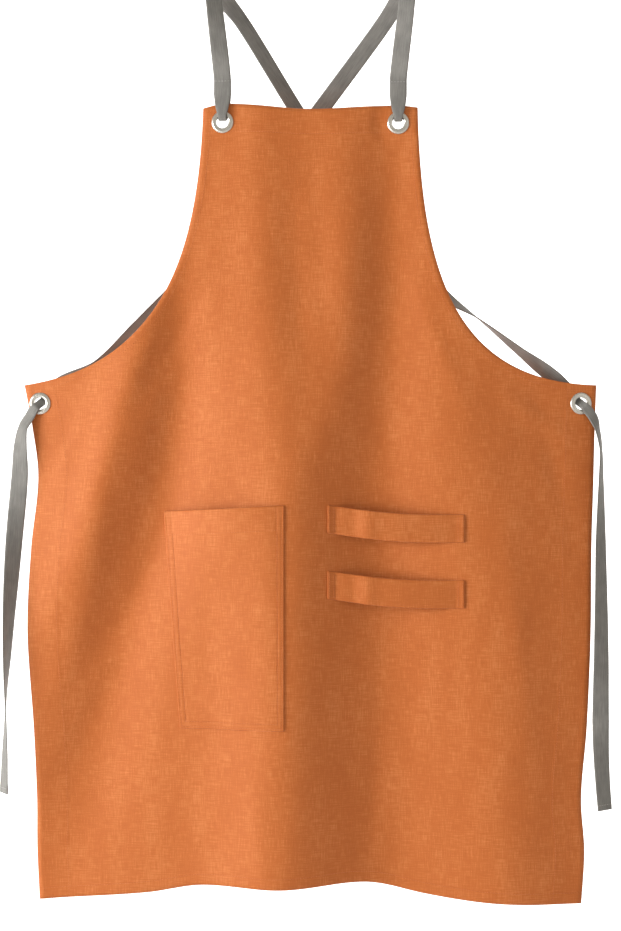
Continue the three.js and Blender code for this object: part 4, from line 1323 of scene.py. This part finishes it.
def stitch_row(world):
    """Spindles along a line of points: points and faces of all of them as one grid."""
    steps = np.linalg.norm(np.diff(world, axis=0), axis=1)
    run = np.concatenate([[0], np.cumsum(steps)])
    count = max(1, int(run[-1] / STITCH_PITCH))
    starts = (np.arange(count) + STITCH_STARTS) * run[-1] / count
    ends = starts + STITCH_SHARE * run[-1] / count
    first, last = (
        np.stack([np.interp(at, run, world[:, k]) for k in range(3)], axis=1) for at in (starts, ends)
    )
    length = np.linalg.norm(last - first, axis=1, keepdims=True)
    along = (last - first) / length
    out = np.cross(along, np.cross(np.array([0.0, -1.0, 0.0]), along))
    out /= np.linalg.norm(out, axis=1, keepdims=True)
    flank = np.cross(along, out)
    share, radius, rise = np.array(SPINDLE).T
    angle = np.linspace(0, 2 * math.pi, STITCH_SIDES, endpoint=False)[:, None]
    middle = first[:, None] + along[:, None] * (length[:, None] * share[None, :, None])
    middle = middle + out[:, None] * (STITCH_RADIUS * rise)[None, :, None]
    ring = np.cos(angle) * out[:, None, None] + np.sin(angle) * flank[:, None, None]
    grid = middle[:, :, None] + ring * (STITCH_RADIUS * radius)[None, :, None, None]
    faces = quads_of(len(SPINDLE), STITCH_SIDES, wrap=True)
    all_faces = faces[None] + (np.arange(count) * STITCH_POINTS)[:, None, None]
    return grid.reshape(-1, 3), all_faces.reshape(-1, 4)


def stitches(name, rows, material=thread, slot_name="linen"):
    """Joins several rows of stitches into one piece."""
    points, faces, offset = [], [], 0
    for world in rows:
        row_points, row_faces = stitch_row(world)
        points.append(row_points)
        faces.append(row_faces + offset)
        offset += len(row_points)
    piece = write_mesh(name, np.concatenate(points), np.concatenate(faces))
    finish_piece(piece, material, slot_name)
    print(name, offset // STITCH_POINTS, "stitches")
    return piece


def panel_line(x, down):
    """A row on the panel's front."""
    x, down = np.broadcast_arrays(np.asarray(x, float), np.asarray(down, float))
    return on_panel(x, down, cloth_lift(x, down) + CLOTH / 2)


def inset_armhole(side, inset):
    """An armhole's curve moved into the cloth."""
    curve = armholes[side]
    along = np.gradient(curve, axis=0)
    along /= np.linalg.norm(along, axis=1, keepdims=True)
    normal = np.stack([-along[:, 1], along[:, 0]], axis=1) * side
    return curve + normal * inset


ROW_POINTS = 120
BIB_ROW_END, ARMHOLE_ROW_END, SKIRT_ROW_END = 0.002, 0.003, 0.004

share_line = np.linspace(0, 1, ROW_POINTS)
top_x = (2 * share_line - 1) * (BIB_HALF - BIB_ROW_END)
top_down = TOP_HEM - STITCH_INSET + bib_edge(top_x / BIB_HALF) * BIB_WIDTH * 0.5
hem_rows = [panel_line(top_x, top_down)]
for side in (-1, 1):
    curve = inset_armhole(side, ARMHOLE_HEM - STITCH_INSET)
    keep = (np.abs(curve[:, 0]) < BODY_HALF - BIB_ROW_END) & (curve[:, 1] > ARMHOLE_ROW_END)
    hem_rows.append(panel_line(curve[keep, 0], curve[keep, 1]))
    levels = np.linspace(ARMHOLE_DROP + SKIRT_ROW_END, PANEL_LENGTH - SKIRT_ROW_END, 160)
    edge_x, edge_down = side_place(side, levels)
    hem_rows.append(panel_line(edge_x - side * (SIDE_HEM - STITCH_INSET), edge_down))
bottom_share = share_line * 0.99 + 0.005
bottom_x = left_x[-1] + bottom_share * (right_x[-1] - left_x[-1])
bottom_down = PANEL_LENGTH * (1 + bottom_edge(2 * bottom_share - 1)) - BOTTOM_HEM + STITCH_INSET
hem_rows.append(panel_line(bottom_x, bottom_down))
hem_stitches = stitches("hem_stitches", hem_rows)

# %% [markdown]
# ## Stitches on the pocket and the loops
# The pocket has two rows along its sides and bottom and one below its hemmed mouth. The loops
# have two short rows at each end.

# %% Pocket and loop stitches
def pocket_line(a, b):
    """A row on the pocket's front, from shares across and down it."""
    a, b = np.broadcast_arrays(np.asarray(a, float), np.asarray(b, float))
    x, down = pocket_place(a, b)
    return on_panel(x, down, pocket_seat(a, b) + CLOTH)


def loop_line(order, a, b):
    """A row on a band's front."""
    a, b = np.broadcast_arrays(np.asarray(a, float), np.asarray(b, float))
    x, down = loop_place(order, a, b)
    return on_panel(x, down, loop_seat(order, a, b) + CLOTH + LOOP_SOFT)


LOOP_ROW_SHARES, LOOP_ROW_DOWN = (0.012, 0.045, 0.955, 0.988), np.linspace(0.06, 0.94, 20)
MOUTH_ROW_START, SIDE_ROW_START = 0.016, 0.004

run_line = np.linspace(0, 1, 90)
pocket_rows = []
for inset in SEAM_ROWS:
    near, low = inset / POCKET_TOP, inset / POCKET_HEIGHT
    for a in (near, 1 - near):
        pocket_rows.append(pocket_line(a, run_line * (1 - low) + SIDE_ROW_START))
    pocket_rows.append(pocket_line(near + run_line * (1 - 2 * near), 1 - low))
mouth_share = MOUTH_ROW_START + run_line * (1 - 2 * MOUTH_ROW_START)
pocket_rows.append(pocket_line(mouth_share, mouth_line))
for order in (0, 1):
    pocket_rows += [loop_line(order, a, LOOP_ROW_DOWN) for a in LOOP_ROW_SHARES]
stitches("pocket_and_loop_stitches", pocket_rows)

# %% [markdown]
# Each strap has a row of lighter stitches across its tab, which holds the eyelet's fold shut,
# and one across the hem of its tie. They lie on the tape's face that the viewer sees.

# %% Strap stitches
TAB_ROW_DOWN, TAB_ROW_OUT, ROW_HALF = 0.003, 0.002, 0.44


def strap_row(start, from_end=None):
    """A row across a strap: on its tab's front, or this far from the tie's end."""
    place, direction, side, width, cloth, run = strap_route(start)
    if from_end is None:
        centre, _, _, out = eyelet_axes(f"top_{start}")
        target = centre + (TAB_LENGTH - TAB_ROW_DOWN) * np.array([0, 0, 1.0]) + TAB_ROW_OUT * out
        to_rail = place[: np.argmax(place[:, 2])]
        k = int(np.argmin(np.linalg.norm(to_rail - target, axis=1)))
        lift_off = cloth[k] / 2
    else:
        k = int(np.searchsorted(run, run[-1] - from_end))
        lift_off = TIE_HEM_CLOTH / 2
    face = np.cross(direction[k], side[k])
    face = face if face[1] < 0 else -face
    reach = np.linspace(-ROW_HALF, ROW_HALF, 30)[:, None] * width[k]
    return place[k] + face * lift_off + side[k] * reach


for start in ("left", "right"):
    rows = [strap_row(start), strap_row(start, TIE_HEM - STITCH_INSET)]
    stitches(f"{start}_strap_stitches", rows, grey_thread, "strap_tape")

# %% [markdown]
# ## Row steps
# The steps down between the panel's rows, from the mean level of its two sides.

steps = np.diff((left_down + right_down) / 2)

# %% [markdown]
# ## Stage and light
# The photograph's background is plain and almost white. A strong soft light comes from far to
# the left and rakes across the folds, and pale surroundings fill the shadows to about half.

# %% Floor and backdrop
FLOOR_LEVEL = -1.32
FLOOR_FRONT, WALL, WALL_TOP, SWEEP_RADIUS, STAGE_HALF = -6.0, 6.0, 5.5, 1.2, 7.0
PAPER_DARK, PAPER_LIGHT = (0.86, 0.86, 0.86, 1.0), (0.9, 0.9, 0.9, 1.0)
GLOW_START, GLOW_FADE, GLOW_STRENGTH = 0.2, 0.5, 1.15


def stage_material():
    """Pale matt paper with a hardly visible unevenness. It glows where the camera sees it behind
    the apron, as an overexposed white background does, and not on the floor under the apron."""
    material, tree = new_material("pale paper")
    place = object_place(tree)
    tint = noise(tree, place, (1.0, 1.0), 1.5, 2.0, 0.0)
    colour = mix_colour(tree, tint, PAPER_DARK, PAPER_LIGHT)
    behind = ((first_two(tree, place)[1] - GLOW_START) / GLOW_FADE).clamp()
    inputs = {
        "Base Color": colour,
        "Roughness": 0.95,
        "Emission Color": mix_colour(tree, behind, (0.0, 0.0, 0.0, 1.0), colour),
        "Emission Strength": GLOW_STRENGTH,
    }
    return surface(material, tree, inputs)


def sweep_points():
    """A floor that curves up into a wall: a straight run, a quarter circle and a rise."""
    turn = np.linspace(0, math.pi / 2, 24)
    floor = [FLOOR_FRONT, -2.0, 0.0, 0.5, 1.0]
    y = np.concatenate([floor, WALL + SWEEP_RADIUS * (np.sin(turn) - 1), [WALL]])
    rise = np.concatenate([np.zeros(len(floor)), SWEEP_RADIUS * (1 - np.cos(turn)), [WALL_TOP]])
    x = np.linspace(-STAGE_HALF, STAGE_HALF, 12)
    return np.stack(np.broadcast_arrays(x, y[::-1, None], FLOOR_LEVEL + rise[::-1, None]), axis=-1)


sweep_grid = sweep_points()
backdrop = write_mesh("backdrop", sweep_grid, quads_of(*sweep_grid.shape[:2]))
backdrop.data.materials.append(stage_material())


# %% Lights
LIGHT_AIM = (0.0, 0.0, -0.6)
LIGHTS = {
    "key": {"place": (-2.9, -1.3, -0.45), "size": 1.3, "energy": 117.0, "color": (1.0, 1.0, 0.98)},
    "fill": {"place": (2.2, -2.8, 0.2), "size": 2.0, "energy": 5.0, "color": (1.0, 1.0, 1.0)},
    "rim": {"place": (0.6, 2.6, 1.4), "size": 1.5, "energy": 22.0, "color": (1.0, 1.0, 1.0)},
}
SURROUNDINGS = {"Color": (1.0, 0.94, 0.83, 1.0), "Strength": 0.56}

for name, row in LIGHTS.items():
    data = bpy.data.lights.new(name, "AREA")
    data.size, data.energy, data.color = row["size"], row["energy"], row["color"]
    light = bpy.data.objects.new(name, data)
    light.location = row["place"]
    aim = Vector(LIGHT_AIM) - Vector(row["place"])
    light.rotation_euler = aim.to_track_quat("-Z", "Y").to_euler()
    bpy.context.scene.collection.objects.link(light)

world = bpy.data.worlds.new("surroundings")
world.use_nodes = True
for socket, value in SURROUNDINGS.items():
    world.node_tree.nodes["Background"].inputs[socket].default_value = value
bpy.context.scene.world = world
bpy.context.scene.view_settings.view_transform = "Standard"
print("lights", [light.name for light in bpy.data.lights])
